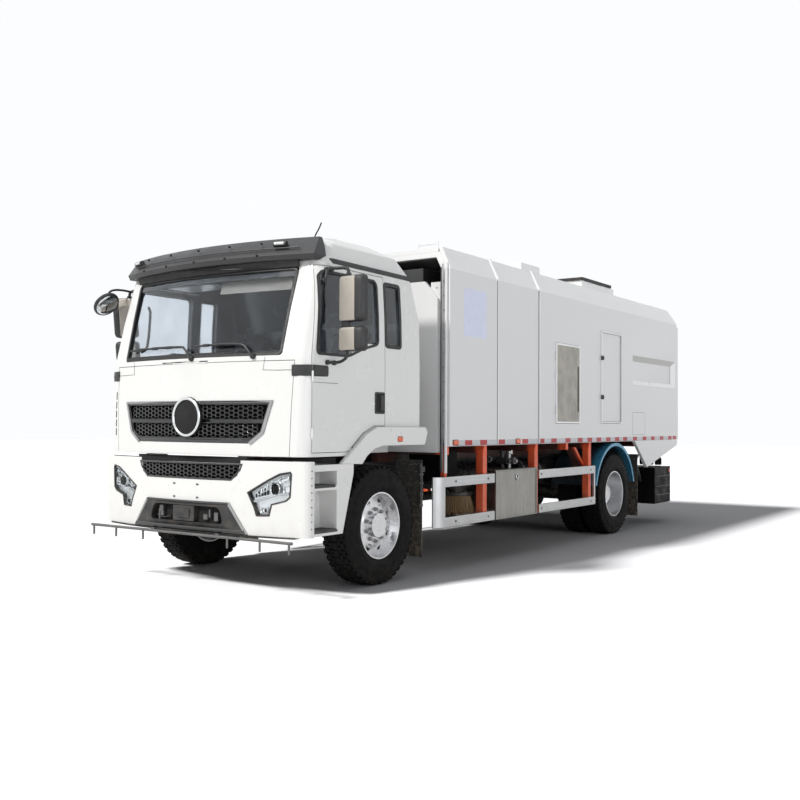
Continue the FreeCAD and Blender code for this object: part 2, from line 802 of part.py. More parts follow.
def pressed_recess():
    """The pressed panel near the tail, with sloping edges."""
    front, length, low, high = s.wheelbase + 507, sized(1648), sized(1915), sized(2300)
    outline = [(front, low), (front + length, low), (front + length, high), (front, high)]
    floor = [(front + 20, low + 55), (front + length - 150, low + 55), (front + length - 150, high - 75),
             (front + 20, high - 75)]
    face = s.box_half
    return loft([(face - 28, floor), (face, outline), (face + 1, outline)], "YZ")


def service_door_sizes():
    return [(s.mesh_door_front, s.mesh_door_width, s.mesh_door_bottom, s.mesh_door_height),
            (s.plain_door_front, s.plain_door_width, s.plain_door_bottom, s.plain_door_height)]


def service_doors():
    for name, sizes, heights in zip(("mesh_door", "plain_door"), service_door_sizes(),
                                    (MESH_HINGES, PLAIN_HINGES)):
        front, width, low, height = sizes
        slab = block((s.box_half - s.box_wall, s.box_half), (front, front + width), (low, low + height))
        keep(name, fuse(slab, *service_hinges(front, heights, 0)))


lug_inner, lug_outer = sized(870), sized(1090)


def lifting_lug(y):
    """A low loop of bar on the roof."""
    z = s.box_roof
    return [rod("z", (lug_inner, y), (z - 5, z + 60), 10), rod("z", (lug_outer, y), (z - 5, z + 60), 10),
            rod("x", (y, z + 45), (lug_inner, lug_outer), 8)]


hatch_front = s.wheelbase + 120
hatch_rear = s.wheelbase + 1070


def body_roof():
    """The roof plate with its slope to the tailgate, two raised boxes and four lifting lugs."""
    half, roof = s.roof_half - 44, s.box_roof
    low = roof - s.box_wall
    plate = prism("YZ", [(s.box_front, low), (wall_rear - 185, low), (wall_rear - 78, s.tail_slope + 62),
                         (wall_rear - 38, s.tail_slope), (wall_rear, s.tail_slope),
                         (wall_rear - 40, s.tail_slope + 90), (wall_rear - 170, roof), (s.box_front, roof)],
                  (-half, half))
    front_box = block((-700, 700), (3410, 3890), (roof - 5, roof + 240))
    rear_box = block((-700, 700), (hatch_front, hatch_rear + 120), (roof - 5, roof + 240))
    rear_box = cut(rear_box, *lid_hinges(0.3))
    lugs = [fuse(*lifting_lug(y)) for y in (s.box_front + 30, s.wheelbase + 1600)]
    keep("body_roof", fuse(plate, front_box, rear_box, *lugs, *[mirror(lug) for lug in lugs]))


def lid_hinges(extra):
    return [rod("x", (hatch_rear, s.box_roof + 240 + s.seal_gap), (x - 70, x + 70), s.knuckle_radius + extra)
            for x in (-500, 0, 500)]


def roof_lid():
    """The rubber-edged lid on the rear roof box, hinged at its rear edge."""
    top = s.box_roof + 240
    slab = block((-720, 720), (hatch_front - 20, hatch_rear), (top + s.seal_gap, top + 40))
    keep("roof_lid", fuse(slab, *lid_hinges(0)))


def body_floor():
    keep("body_floor", group(block((s.box_wall - s.box_half, s.box_half - s.box_wall),
                                   (s.box_front, wall_rear), (s.box_floor, s.box_floor + s.box_wall))))


def body_front():
    """The open portal at the body's front, the riveted panel before it and the drain pipes."""
    inner, roof, floor = s.box_half - s.box_wall, s.box_roof - s.box_wall, s.box_floor + s.box_wall
    shoulder = s.box_shoulder - 9
    bar = 53
    top_x = s.roof_half - 44
    portal = prism("XZ", [(inner, floor), (inner, shoulder), (top_x + 17, roof), (-top_x - 17, roof),
                          (-inner, shoulder), (-inner, floor), (bar - inner, floor),
                          (bar - inner, shoulder - 20), (-top_x + 24, roof - bar), (top_x - 24, roof - bar),
                          (inner - bar, shoulder - 20), (inner - bar, floor)],
                   (s.box_front, s.box_front + 60))
    panel = prism("XZ", [(-1135, 1110), (1135, 1110), (1135, 2560), (990, 2730), (-990, 2730),
                         (-1135, 2560)], (s.box_front - 40, s.box_front))
    pipe = rod("z", (s.box_half - 34, s.box_front - 15), (920, 2900), 15)
    keep("body_front", group(portal, panel, both(pipe)))


def intake_housing():
    """The dark housing seen between the front panel and the portal's beam."""
    keep("intake_housing", group(block((-900, 900), (s.box_front + 70, s.box_front + 700),
                                       (s.box_floor + s.box_wall, s.box_roof - 170))))


def tailgate():
    """The rear door over the full width, hinged along its top edge."""
    y0 = s.box_tail - s.tailgate_wall
    slab = block((-s.box_half, s.box_half), (y0, s.box_tail), (s.box_floor + 4, s.tail_slope - 12))
    hinge = [rod("x", (s.box_tail, s.tail_slope - 12), (x - 60, x + 60), s.knuckle_radius)
             for x in (-900, 0, 900)]
    keep("tailgate", fuse(slab, *hinge))


def sweep_box():
    """The black brush and suction box under the tail, open below, and its two hangers."""
    front, rear = s.sweep_front, s.sweep_front + s.sweep_length
    low, high, half = s.sweep_bottom, s.sweep_top, s.sweep_half
    shell = cut(block((-half, half), (front, rear), (low, high)),
                block((20 - half, half - 20), (front + 20, rear - 20), (low - 1, high - 20)))
    hangers = [block((x - 40, x + 40), (front + 200, front + 280), (high, s.rail_top)) for x in (-385, 385)]
    keep("sweep_box", fuse(shell, *hangers))


# Side brooms

def side_brooms():
    """A flared broom on each side, hanging from an arm that tips it down."""
    x, y, low, radius = s.broom_x, s.broom_y, s.broom_bottom, s.broom_radius
    bristles = document.addObject("Part::Cone", "bristles")
    bristles.setExpression("Radius1", radius.text)
    bristles.setExpression("Radius2", (radius - 70).text)
    bristles.setExpression("Height", sized(170).text)
    place(bristles, x, y, low)
    plate = rod("z", (x, y), (low + 165, low + 190), radius - 60)
    stub = rod("z", (x, y), (low + 180, low + 230), 25)
    keep_pair("side_broom", fuse(bristles, plate, stub))
    motor = cut(rod("z", (x, y), (low + 200, low + 300), 70),
                rod("z", (x, y), (low + 199, low + 235), 25 + s.running_fit))
    arm = block((broom_pivot_x, x), (y - 30, y + 30), (low + 240, low + 290))
    eye = rod("y", (broom_pivot_x, low + 265), (y - 40, y + 40), 35)
    bore = rod("y", (broom_pivot_x, low + 265), (y - 41, y + 41), 15 + s.running_fit)
    keep_pair("broom_arm", cut(fuse(motor, arm, eye), bore))


broom_pivot_x = s.rail_half + 75


def broom_brackets():
    """The fork and pin on each rail that carry a broom's arm."""
    y, z = s.broom_y, s.broom_bottom + 265
    cheeks = [block((s.rail_half, broom_pivot_x + 30), (y + a, y + b), (z - 40, z + 90))
              for a, b in ((-65, -46), (46, 65))]
    return cheeks + [rod("y", (broom_pivot_x, z), (y - 60, y + 60), 15)]


# Cab

def cab_section(inset, nose, half, tail, bow):
    """The cab seen from above at one level: bowed face, round corners, flat back."""
    i = sized(inset)
    nose, half, tail, bow = nose - i, half - i, tail - i, sized(bow)
    corner = s.cab_corner
    rise = corner * (2 ** 0.5) * (2 ** 0.5 - 1) / 2
    side = bow - nose
    return [(corner - half, side, bow), (half - corner, side, rise), (half, side + corner),
            (half, tail - 40, 12), (half - 40, tail), (40 - half, tail, 12), (-half, tail - 40),
            (-half, side + corner, rise)]


def cab_loft(inset, bottom):
    """The cab's outer shape, shrunk by an inset, from a height up to the roof."""
    nose, half, tail, bow = s.cab_nose, s.cab_half, s.cab_tail, s.nose_bow
    header = s.header_height
    rise = s.cab_roof - header
    levels = [(sized(bottom), nose, half, tail),
              (s.belt_height - 400, nose, half, tail),
              (s.belt_height, nose - 15, half, tail),
              (header - 380, nose - s.header_lean * 0.52, half - 10, tail),
              (header, nose - s.header_lean, half - 35, tail - 125),
              (header + rise * 0.64, nose - s.header_lean - 130, half - 85, tail - 280),
              (s.cab_roof - inset, nose - s.header_lean - 330, half - 220, tail - 520)]
    return loft([(height, cab_section(inset, *rest, bow)) for height, *rest in levels])


def door_outline(gap):
    """The left door from the side, grown by a gap, following the wheel arch."""
    g = sized(gap)
    front, rear, low, top = s.door_front + g, s.door_rear + g, s.door_sill - g, s.door_top + g
    return [(-front, low), (-505 + g, low), (-300 + g, 1302 - g), (-145, s.arch_top + 9 - g),
            (rear, s.arch_top + 9 - g), (rear, top), (125 - front, top), (-front, s.belt_height)]


def door_window():
    front, rear = s.door_front - 58, s.door_rear - 100
    low, high = s.window_bottom, s.window_top
    return [(-front, low + 30, 9), (30 - front, low), (-480, low, -6), (-330, low + 115),
            (rear - 25, low + 115, 7), (rear, low + 140), (rear, high - 30, 9), (rear - 30, high),
            (98 - front, high, 9), (73 - front, high - 30)]


def quarter_window():
    return rounded((s.door_rear + 20, s.window_bottom + 115), (s.door_rear + 240, s.window_top), 30)


WINDSCREEN = [(-900, 1915), (900, 1915, 9), (930, 1945), (948, 2610, 9), (918, 2640), (-918, 2640, 9),
              (-948, 2610), (-930, 1945, 9)]
FLAP = [(-1010, 1105), (1010, 1105), (1040, 1870), (-1040, 1870)]
UPPER_GRILLE = [(-660, 1215), (660, 1215), (777, 1300), (860, 1555), (-860, 1555), (-777, 1300)]
emblem_height = sized(1426)
UPPER_SLOTS = ((1246, 650), (1284, 700), (1322, 745), (1374, 762), (1412, 775), (1450, 787), (1488, 800))


def grown(corners, gap):
    """A flap outline grown by a gap at its sides and top."""
    return [(x + math.copysign(gap, x), z + (gap if z > 1200 else 0)) for x, z in corners]


def side_prism(corners):
    """A side-view outline that runs through the cab's left wall."""
    return prism("YZ", corners, (s.cab_half - 160, s.cab_half + 40))


def cab():
    outer = cab_loft(0, s.cab_floor)
    inner = cab_loft(s.cab_wall, s.cab_floor - 5)
    skin = cut(outer, inner)
    glass_band = cut(cab_loft(s.glass_inset, s.cab_floor),
                     cab_loft(s.glass_inset + s.glass_thickness, s.cab_floor - 5))
    doorway = side_prism(door_outline(s.door_gap))
    quarter = side_prism(quarter_window())
    windscreen = face_prism(WINDSCREEN)
    flap_hole = face_prism(grown(FLAP, s.door_gap.value))
    hinges = door_hinges(0.3)
    arch_well = block((800, s.cab_half + 10), (-480, s.cab_tail + 10), (s.cab_floor - 10, s.arch_underside))
    floor = common(inner, block((-1300, 1300), (-1300, 1300), (s.cab_floor, s.cab_floor + 50)))
    firewall = common(inner, block((-1300, 1300), (-s.cab_nose + 180, -s.cab_nose + 210),
                                   (s.cab_floor, s.belt_height)))
    well_roof = common(inner, block((780, 1300), (-520, 1300), (s.cab_floor, s.arch_underside + 30)))
    tools = [doorway, quarter, arch_well] + hinges
    shell = cut(skin, *tools, *[mirror(tool) for tool in tools], windscreen, flap_hole,
                flap_hinge_rod(0.3))
    swing = block((s.cab_half - 102, s.cab_half), (-960, -888), (s.door_sill - 1, s.belt_height))
    plates = cut(fuse(floor, firewall, well_roof, mirror(well_roof)), arch_well, mirror(arch_well),
                 swing, mirror(swing))
    keep("cab_shell", fuse(shell, plates))
    panes = common(glass_band, quarter)
    keep("cab_glass", group(common(glass_band, windscreen), panes, mirror(panes)))
    window = side_prism(door_window())
    door = cut(common(skin, side_prism(door_outline(0))), window)
    keep_pair("cab_door", fuse(door, *door_hinges(0)))
    keep_pair("door_glass", common(glass_band, window))
    front_flap(skin)
    sun_visor(outer)
    mirrors(outer)


def door_hinges(extra):
    return knuckle_rods((s.cab_half + 2, -s.door_front - 3), (1300, 1750), s.knuckle_radius + extra)


def face_prism(corners):
    """A front-view outline that runs through the cab's face only."""
    return prism("XZ", corners, (-s.cab_nose - 60, -s.cab_nose + 330))


def flap_hinge_rod(extra):
    return rod("x", (-s.cab_nose + 16, 1874), (-200, 200), 6 + extra)


def front_flap(skin):
    """The service flap under the windscreen with the upper grille set in it."""
    grille = face_prism(UPPER_GRILLE)
    ring_face = -s.cab_nose - 20
    flap = cut(common(skin, face_prism(FLAP)), grille,
               rod("y", (0, emblem_height), (ring_face, -900), 165.3))
    keep("front_flap", fuse(flap, flap_hinge_rod(0)))
    ring = rod("y", (0, emblem_height), (ring_face, -s.cab_nose + 50), 165)
    slots = [block((-reach, reach), (-s.cab_nose - 10, -s.cab_nose + 320), (z, z + SLOT_HEIGHT))
             for z, reach in UPPER_SLOTS]
    keep("upper_grille", fuse(cut(common(skin, grille), group(*slots)), ring))


def sun_visor(outer):
    """The dark visor over the windscreen, seated on the cab's brow and leaning back to its top."""
    low = s.header_height + 8
    levels = ((0, 1100, 870, 190), (40, 1112, 882, 190), (135, 1095, 820, 180), (195, 1070, 765, 165))
    shade = loft([(low + rise,
                   [(-sized(half), -side, bow), (half, -side), (half, -730), (-sized(half), -730)])
                  for rise, half, side, bow in levels])
    keep("sun_visor", cut(shade, outer))


mirror_y = sized(-696)


def mirror_heads():
    """The tall mirror over the wide-angle one, with a neck between them."""
    span = (mirror_y - 30, mirror_y + 30)
    upper = prism("XZ", rounded((1244, 2185), (1484, 2558), 35), span)
    lower = prism("XZ", rounded((1244, 1951), (1484, 2150), 35), span)
    neck = block((1300, 1380), (mirror_y - 20, mirror_y + 15), (2130, 2200))
    return fuse(upper, lower, neck)


def mirrors(outer):
    """Each door's pair of mirrors on two arms; the right pair is turned to the driver and carries the
    round kerb mirror."""
    arms = [straight_arm(z, tip) for z, tip in ((sized(2612), 2480), (sized(1865), 2125))]
    keep("mirror_left", cut(fuse(mirror_heads(), *arms), outer))
    aimed = [prism("XY", turned_head(y), span)
             for y, span in ((-712, (2185, 2558)), (-690, (1951, 2150)))]
    neck = block((1300, 1380), (-715, -685), (2130, 2200))
    kerb = prism("XZ", [(1287, 2569), (1311, 2596), (1484, 2402), (1460, 2375)], (-1030, -790))
    stem = [rod("y", (1318, 2612), (-905, -690), 11), rod("x", (-900, 2612), (1314, 1392), 11),
            rod("z", (1384, -900), (2480, 2612), 10)]
    keep("mirror_right", mirror(cut(fuse(*aimed, neck, *arms, kerb, *stem), outer)))


def turned_head(y):
    """A mirror head's plan, its glass turned in to the driver."""
    return [(1231, y - 62), (1249, y - 64), (1480, y + 4), (1463, y + 62), (1245, y + 2)]


def straight_arm(z, tip):
    """A bar out from the door's frame and a short one into the mirror's head."""
    low, high = (z, sized(tip)) if z.value < tip else (sized(tip), z)
    return fuse(rod("x", (mirror_y, z), (1112, 1324), 14), rod("z", (1310, mirror_y), (low, high), 14))


def cab_arches():
    """The white band over each front wheel, which tips with the cab."""
    top, under = s.arch_top, s.arch_underside
    outline = [(-635, 1056), (-348, 1044), (-290, 1105), (-190, 1162), (-60, under), (590, under),
               (635, top - 46), (600, top), (-140, top), (-290, top - 60), (-456, top - 177)]
    keep("cab_arches", both(prism("YZ", outline, (s.cab_half, s.cab_half + 40))))


def seats():
    """Two seats on their bases."""
    floor = s.cab_floor + 50
    base = block((420, 780), (-300, 60), (floor, floor + 250))
    cushion = prism("YZ", [(-420, floor + 300), (-400, floor + 250), (120, floor + 250, 10),
                           (190, floor + 300), (330, 2180, 20), (310, 2260), (240, 2260, 20),
                           (210, 2180), (80, floor + 430, -30), (-360, floor + 400, 15)], (350, 850))
    keep("seats", both(fuse(base, cushion)))


def dashboard():
    """The dashboard across the cab with the steering wheel on its column."""
    face = -s.cab_nose + 210
    desk = prism("YZ", [(face, 1450), (-700, 1450), (-620, 1620), (-650, 1780), (-760, 1850),
                        (face, 1880)], (150 - s.cab_half, s.cab_half - 150))
    wheel = document.addObject("Part::Torus", "steering_wheel")
    wheel.setExpression("Radius1", s.wheel_rim.text)
    wheel.setExpression("Radius2", sized(16).text)
    column = document.addObject("Part::Cylinder", "steering_column")
    column.setExpression("Radius", sized(28).text)
    column.setExpression("Height", sized(330).text)
    spoke = document.addObject("Part::Box", "steering_spoke")
    for edge, size in (("Length", s.wheel_rim * 2), ("Width", sized(40)), ("Height", sized(14))):
        spoke.setExpression(edge, size.text)
    for piece, turn in ((wheel, 30), (column, 150), (spoke, 30)):
        piece.Placement.Rotation = FreeCAD.Rotation(FreeCAD.Vector(1, 0, 0), turn)
        place(piece, sized(600) - s.wheel_rim if piece is spoke else 600, -430, 1800)
    keep("dashboard", fuse(desk, wheel, column, spoke))


def build():
    wheels()
    front_axle()
    knuckle()
    rear_axle()
    frame_rails()
    engine()
    fuel_tank()
    bumper()
    spray_bar()
    cab_steps()
    mudflaps()
    rear_fenders()
    subframe()
    side_guards()
    tool_cabinet()
    body_sides()
    service_doors()
    body_roof()
    roof_lid()
    body_floor()
    body_front()
    intake_housing()
    tailgate()
    sweep_box()
    side_brooms()
    cab()
    cab_arches()
    seats()
    dashboard()


def check_and_write():
    """Refuse a failed object or an empty shape, then write each sub-part's file."""
    document.recompute()
    faults = ["%s in %s did not build" % (piece.Name, ", ".join(user.Label for user in piece.InListRecursive))
              for piece in document.Objects if {"Invalid", "Error"} & set(piece.State)]
    faults += ["%s has no valid shape" % name for name, piece in parts.items()
               if piece.Shape.isNull() or not piece.Shape.isValid() or not piece.Shape.Solids]
    if faults:
        raise RuntimeError("\n".join(faults))
    os.makedirs("parts", exist_ok=True)
    for name, piece in parts.items():
        piece.Shape.exportStep("parts/%s.step" % name)


build()
check_and_write()
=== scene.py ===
"""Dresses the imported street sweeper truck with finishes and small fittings, and sets a plain studio round it.

Lengths are in metres. The truck faces -Y, its left side is +X, and the ground is at z = 0.
"""
import json
import math

import bmesh
import bpy
from bpy.props import FloatProperty, FloatVectorProperty, IntProperty, PointerProperty
from mathutils import Matrix, Vector

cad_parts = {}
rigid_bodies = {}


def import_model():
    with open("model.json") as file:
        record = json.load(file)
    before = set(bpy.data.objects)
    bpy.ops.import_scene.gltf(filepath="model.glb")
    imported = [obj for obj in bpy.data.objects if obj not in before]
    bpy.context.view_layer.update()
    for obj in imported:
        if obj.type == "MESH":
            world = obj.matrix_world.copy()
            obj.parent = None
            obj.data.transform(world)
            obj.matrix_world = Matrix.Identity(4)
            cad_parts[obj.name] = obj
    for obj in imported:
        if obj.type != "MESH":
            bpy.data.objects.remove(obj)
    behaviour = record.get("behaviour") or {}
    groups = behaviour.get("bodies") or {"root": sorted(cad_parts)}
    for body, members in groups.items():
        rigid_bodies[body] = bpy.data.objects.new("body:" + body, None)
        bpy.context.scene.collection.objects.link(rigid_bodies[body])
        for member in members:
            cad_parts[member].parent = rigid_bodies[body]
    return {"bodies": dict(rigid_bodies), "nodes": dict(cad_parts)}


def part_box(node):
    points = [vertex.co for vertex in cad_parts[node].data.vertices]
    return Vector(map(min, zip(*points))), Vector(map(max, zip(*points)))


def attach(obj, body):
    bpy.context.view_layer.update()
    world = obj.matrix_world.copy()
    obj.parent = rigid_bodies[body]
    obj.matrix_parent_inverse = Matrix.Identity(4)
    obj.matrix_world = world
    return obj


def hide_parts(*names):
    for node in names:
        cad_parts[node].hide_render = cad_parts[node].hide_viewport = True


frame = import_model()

bl_info = {
    "name": "Street sweeper truck dressing",
    "version": (1, 0, 0),
    "blender": (4, 5, 0),
    "location": "3D View > Sidebar > Sweeper",
    "description": "Finishes, fittings and studio for the packed street sweeper truck",
    "category": "Object",
}

kept = set(frame["nodes"].values()) | set(frame["bodies"].values())
for stray in [thing for thing in bpy.data.objects if thing not in kept]:
    bpy.data.objects.remove(stray)
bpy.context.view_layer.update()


def middle(node):
    """The middle of a node's box."""
    low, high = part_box(node)
    return (low + high) / 2


AXLE = middle("front_tyre_left").y
REAR_AXLE = middle("rear_tyres_left").y
WHEEL_Z = middle("front_tyre_left").z
TYRE_RADIUS = (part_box("front_tyre_left")[1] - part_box("front_tyre_left")[0]).z / 2
SIDES = (("left", 1), ("right", -1))


def aft(distance):
    """A place along the truck, measured back from the front axle."""
    return AXLE + distance


def bowed(nose, radius):
    """The y of a face that bows forward: nose is how far its middle lies ahead of the front axle."""
    return lambda x: aft(-nose) + radius - math.sqrt(radius ** 2 - x ** 2)


cab_face = bowed(1.160, 4.5926)
bumper_face = bowed(1.185, 4.4755)


# ---- settings ----

def colour(name, red, green, blue):
    """A colour property with its default."""
    return FloatVectorProperty(name=name, description=name + " of the truck, in linear light", subtype="COLOR",
        size=3, min=0, max=1, default=(red, green, blue))


def length(name, value, description):
    """A length property with its default."""
    return FloatProperty(name=name, description=description, default=value, min=0, unit="LENGTH", precision=4)


class SweeperPaint(bpy.types.PropertyGroup):
    """Colours that a user would change."""
    cab: colour("Cab paint", 0.74, 0.74, 0.73)
    body: colour("Body paint", 0.84, 0.84, 0.845)
    subframe: colour("Subframe paint", 0.84, 0.115, 0.035)
    fender: colour("Rear fender paint", 0.045, 0.27, 0.46)
    visor: colour("Visor plastic", 0.027, 0.027, 0.029)
    mirror: colour("Mirror face", 0.40, 0.365, 0.32)
    glass: colour("Window glass", 0.84, 0.88, 0.92)


class SweeperSizes(bpy.types.PropertyGroup):
    """Sizes that a user would change."""
    mesh_pitch: length("Grille cell", 0.042, "Distance between the grille's cells")
    rib: length("Body rib", 0.022, "Width of the body's white ribs")
    tread_blocks: IntProperty(name="Tread blocks", description="Blocks round each tyre in one row", default=44,
        min=12, max=80)


class SweeperStage(bpy.types.PropertyGroup):
    """Light of the studio."""
    key: FloatProperty(name="Key light", description="Strength of the key light", default=2.80, min=0)
    key_angle: FloatProperty(name="Key softness", description="Apparent size of the key light",
        default=math.radians(7), min=0, subtype="ANGLE")
    fill: FloatProperty(name="Side fill", description="Strength of the light on the left side", default=1.02, min=0)
    top: FloatProperty(name="Top light", description="Strength of the soft light from above", default=0.60, min=0)
    ground: FloatProperty(name="Floor light", description="Strength of the light for the floor", default=6.2, min=0)
    sky: FloatProperty(name="Sky", description="Strength of the even light from all round", default=0.17, min=0)


def paint():
    """The colours in use."""
    return bpy.context.scene.sweeper_paint


def sizes():
    """The sizes in use."""
    return bpy.context.scene.sweeper_sizes


# ---- finishes ----

class Finish:
    """Builds one node material, always from procedural variation of colour, roughness and relief."""

    def __init__(self, name, colour, rough=0.5, metal=0.0):
        self.material = bpy.data.materials.new(name)
        self.material.use_nodes = True
        self.nodes, self.links = self.material.node_tree.nodes, self.material.node_tree.links
        self.shader = self.nodes["Principled BSDF"]
        self.shader.inputs["Metallic"].default_value = metal
        self.where = self.node("ShaderNodeTexCoord").outputs["Object"]
        self.base = tuple(colour)
        self.tint = (*colour, 1)
        self.rough = rough
        self.relief = None

    def node(self, kind, **settings):
        """A new node; settings are its own properties, or its inputs' values by name."""
        made = self.nodes.new(kind)
        for key, value in settings.items():
            if hasattr(made, key):
                setattr(made, key, value)
            else:
                made.inputs[key.replace("_", " ")].default_value = value
        return made

    def join(self, source, target):
        """A link; the source may be a plain number or colour."""
        if isinstance(source, (int, float, tuple)):
            target.default_value = source
        else:
            self.links.new(source, target)

    def maths(self, operation, a, b=0.0):
        """One maths node's value."""
        made = self.node("ShaderNodeMath", operation=operation)
        self.join(a, made.inputs[0])
        self.join(b, made.inputs[1])
        return made.outputs[0]

    def noise(self, size, detail=3.0, stretch=(1, 1, 1), shift=0.0):
        """Soft noise with features about 1/size metres across."""
        mapped = self.node("ShaderNodeMapping")
        mapped.inputs["Scale"].default_value = stretch
        mapped.inputs["Location"].default_value = (shift, shift, shift)
        self.join(self.where, mapped.inputs["Vector"])
        made = self.node("ShaderNodeTexNoise", Scale=size, Detail=detail)
        self.join(mapped.outputs[0], made.inputs["Vector"])
        return made.outputs["Fac"]

    def spread(self, value, low, high, to_low=0.0, to_high=1.0):
        """Maps a value from one range to another, held at the ends."""
        made = self.node("ShaderNodeMapRange", clamp=True)
        for socket, number in zip(made.inputs, (value, low, high, to_low, to_high)):
            self.join(number, socket)
        return made.outputs[0]

    def axis(self, letter):
        """One coordinate of the surface in the truck's own frame."""
        split = self.node("ShaderNodeSeparateXYZ")
        self.join(self.where, split.inputs[0])
        return split.outputs[letter]

    def over(self, colour, amount):
        """Lays a second colour over the first one where amount is high."""
        mix = self.node("ShaderNodeMix", data_type="RGBA")
        self.join(amount, mix.inputs["Factor"])
        self.join(self.tint, mix.inputs[6])
        self.join((*colour, 1), mix.inputs[7])
        self.tint = mix.outputs[2]
        return self

    def mottle(self, amount=0.08, size=2.5, shift=0.0):
        """Slow changes of tone, lighter and darker."""
        dark = tuple(max(0.0, part * (1 - amount)) for part in self.base)
        return self.over(dark, self.spread(self.noise(size, 4, shift=shift), 0.35, 0.65))

    def dust(self, top, bottom, amount=0.5, colour=(0.30, 0.25, 0.19), size=9.0):
        """Road dust that fades out upwards, in patches."""
        height = self.spread(self.axis("Z"), bottom, top, 1.0, 0.0)
        patches = self.spread(self.noise(size, 6, shift=3.1), 0.38, 0.72)
        return self.over(colour, self.maths("MULTIPLY", self.maths("MULTIPLY", height, patches), amount))

    def specks(self, colour, size=60.0, low=0.60, high=0.66, amount=0.7):
        """Small spots, such as stone dust or chips."""
        return self.over(colour, self.maths("MULTIPLY", self.spread(self.noise(size, 2, shift=7.7), low, high),
            amount))

    def core(self, colour, low, high, amount=0.9):
        """Painted shade: another colour on what lies near the middle of the truck, where the under-body lies in
        shadow.
        """
        return self.over(colour, self.spread(self.maths("ABSOLUTE", self.axis("X")), low, high, amount, 0.0))

    def under(self, colour, low, high):
        """Another tone on what lies under a height; on the body walls it is painted shade below the shoulder."""
        return self.over(colour, self.spread(self.axis("Z"), low, high, 1.0, 0.0))

    def inside(self, colour, centre):
        """Another colour on the faces that look towards a centre, such as a cabin's lining."""
        coords = self.node("ShaderNodeTexCoord")
        away = self.node("ShaderNodeVectorMath", operation="SUBTRACT")
        self.links.new(coords.outputs["Object"], away.inputs[0])
        away.inputs[1].default_value = centre
        facing = self.node("ShaderNodeVectorMath", operation="DOT_PRODUCT")
        self.links.new(away.outputs[0], facing.inputs[0])
        self.links.new(coords.outputs["Normal"], facing.inputs[1])
        return self.over(colour, self.maths("LESS_THAN", facing.outputs["Value"], -0.02))

    def bumps(self, strength=0.15, size=300.0, depth=0.001, stretch=(1, 1, 1), detail=2.0):
        """Fine relief."""
        made = self.node("ShaderNodeBump", Strength=strength, Distance=depth)
        self.join(self.noise(size, detail, stretch), made.inputs["Height"])
        if self.relief is not None:
            self.links.new(self.relief, made.inputs["Normal"])
        self.relief = made.outputs["Normal"]
        return self

    def shine(self, spread=0.12, size=6.0, stretch=(1, 1, 1)):
        """Roughness that changes over the surface by up to spread either way."""
        self.rough = self.spread(self.noise(size, 4, stretch, 5.5), 0.3, 0.7, max(0.02, self.rough - spread),
            min(1.0, self.rough + spread))
        return self

    def set(self, **values):
        """Plain values on the shader's own sockets."""
        for key, value in values.items():
            self.shader.inputs[key.replace("_", " ")].default_value = value
        return self

    def done(self):
        """Joins everything to the shader and returns the material."""
        self.join(self.tint, self.shader.inputs["Base Color"])
        self.join(self.rough, self.shader.inputs["Roughness"])
        if self.relief is not None:
            self.links.new(self.relief, self.shader.inputs["Normal"])
        return self.material


LINING = (0.125, 0.135, 0.15)
CABIN_CENTRE = (0.0, aft(-0.35), 2.0)
# painted shade: the body walls below the shoulder's edge take this darker tone of the body paint, for the shade the
# light leaves there
WALL_SHADE_TONE = 0.855

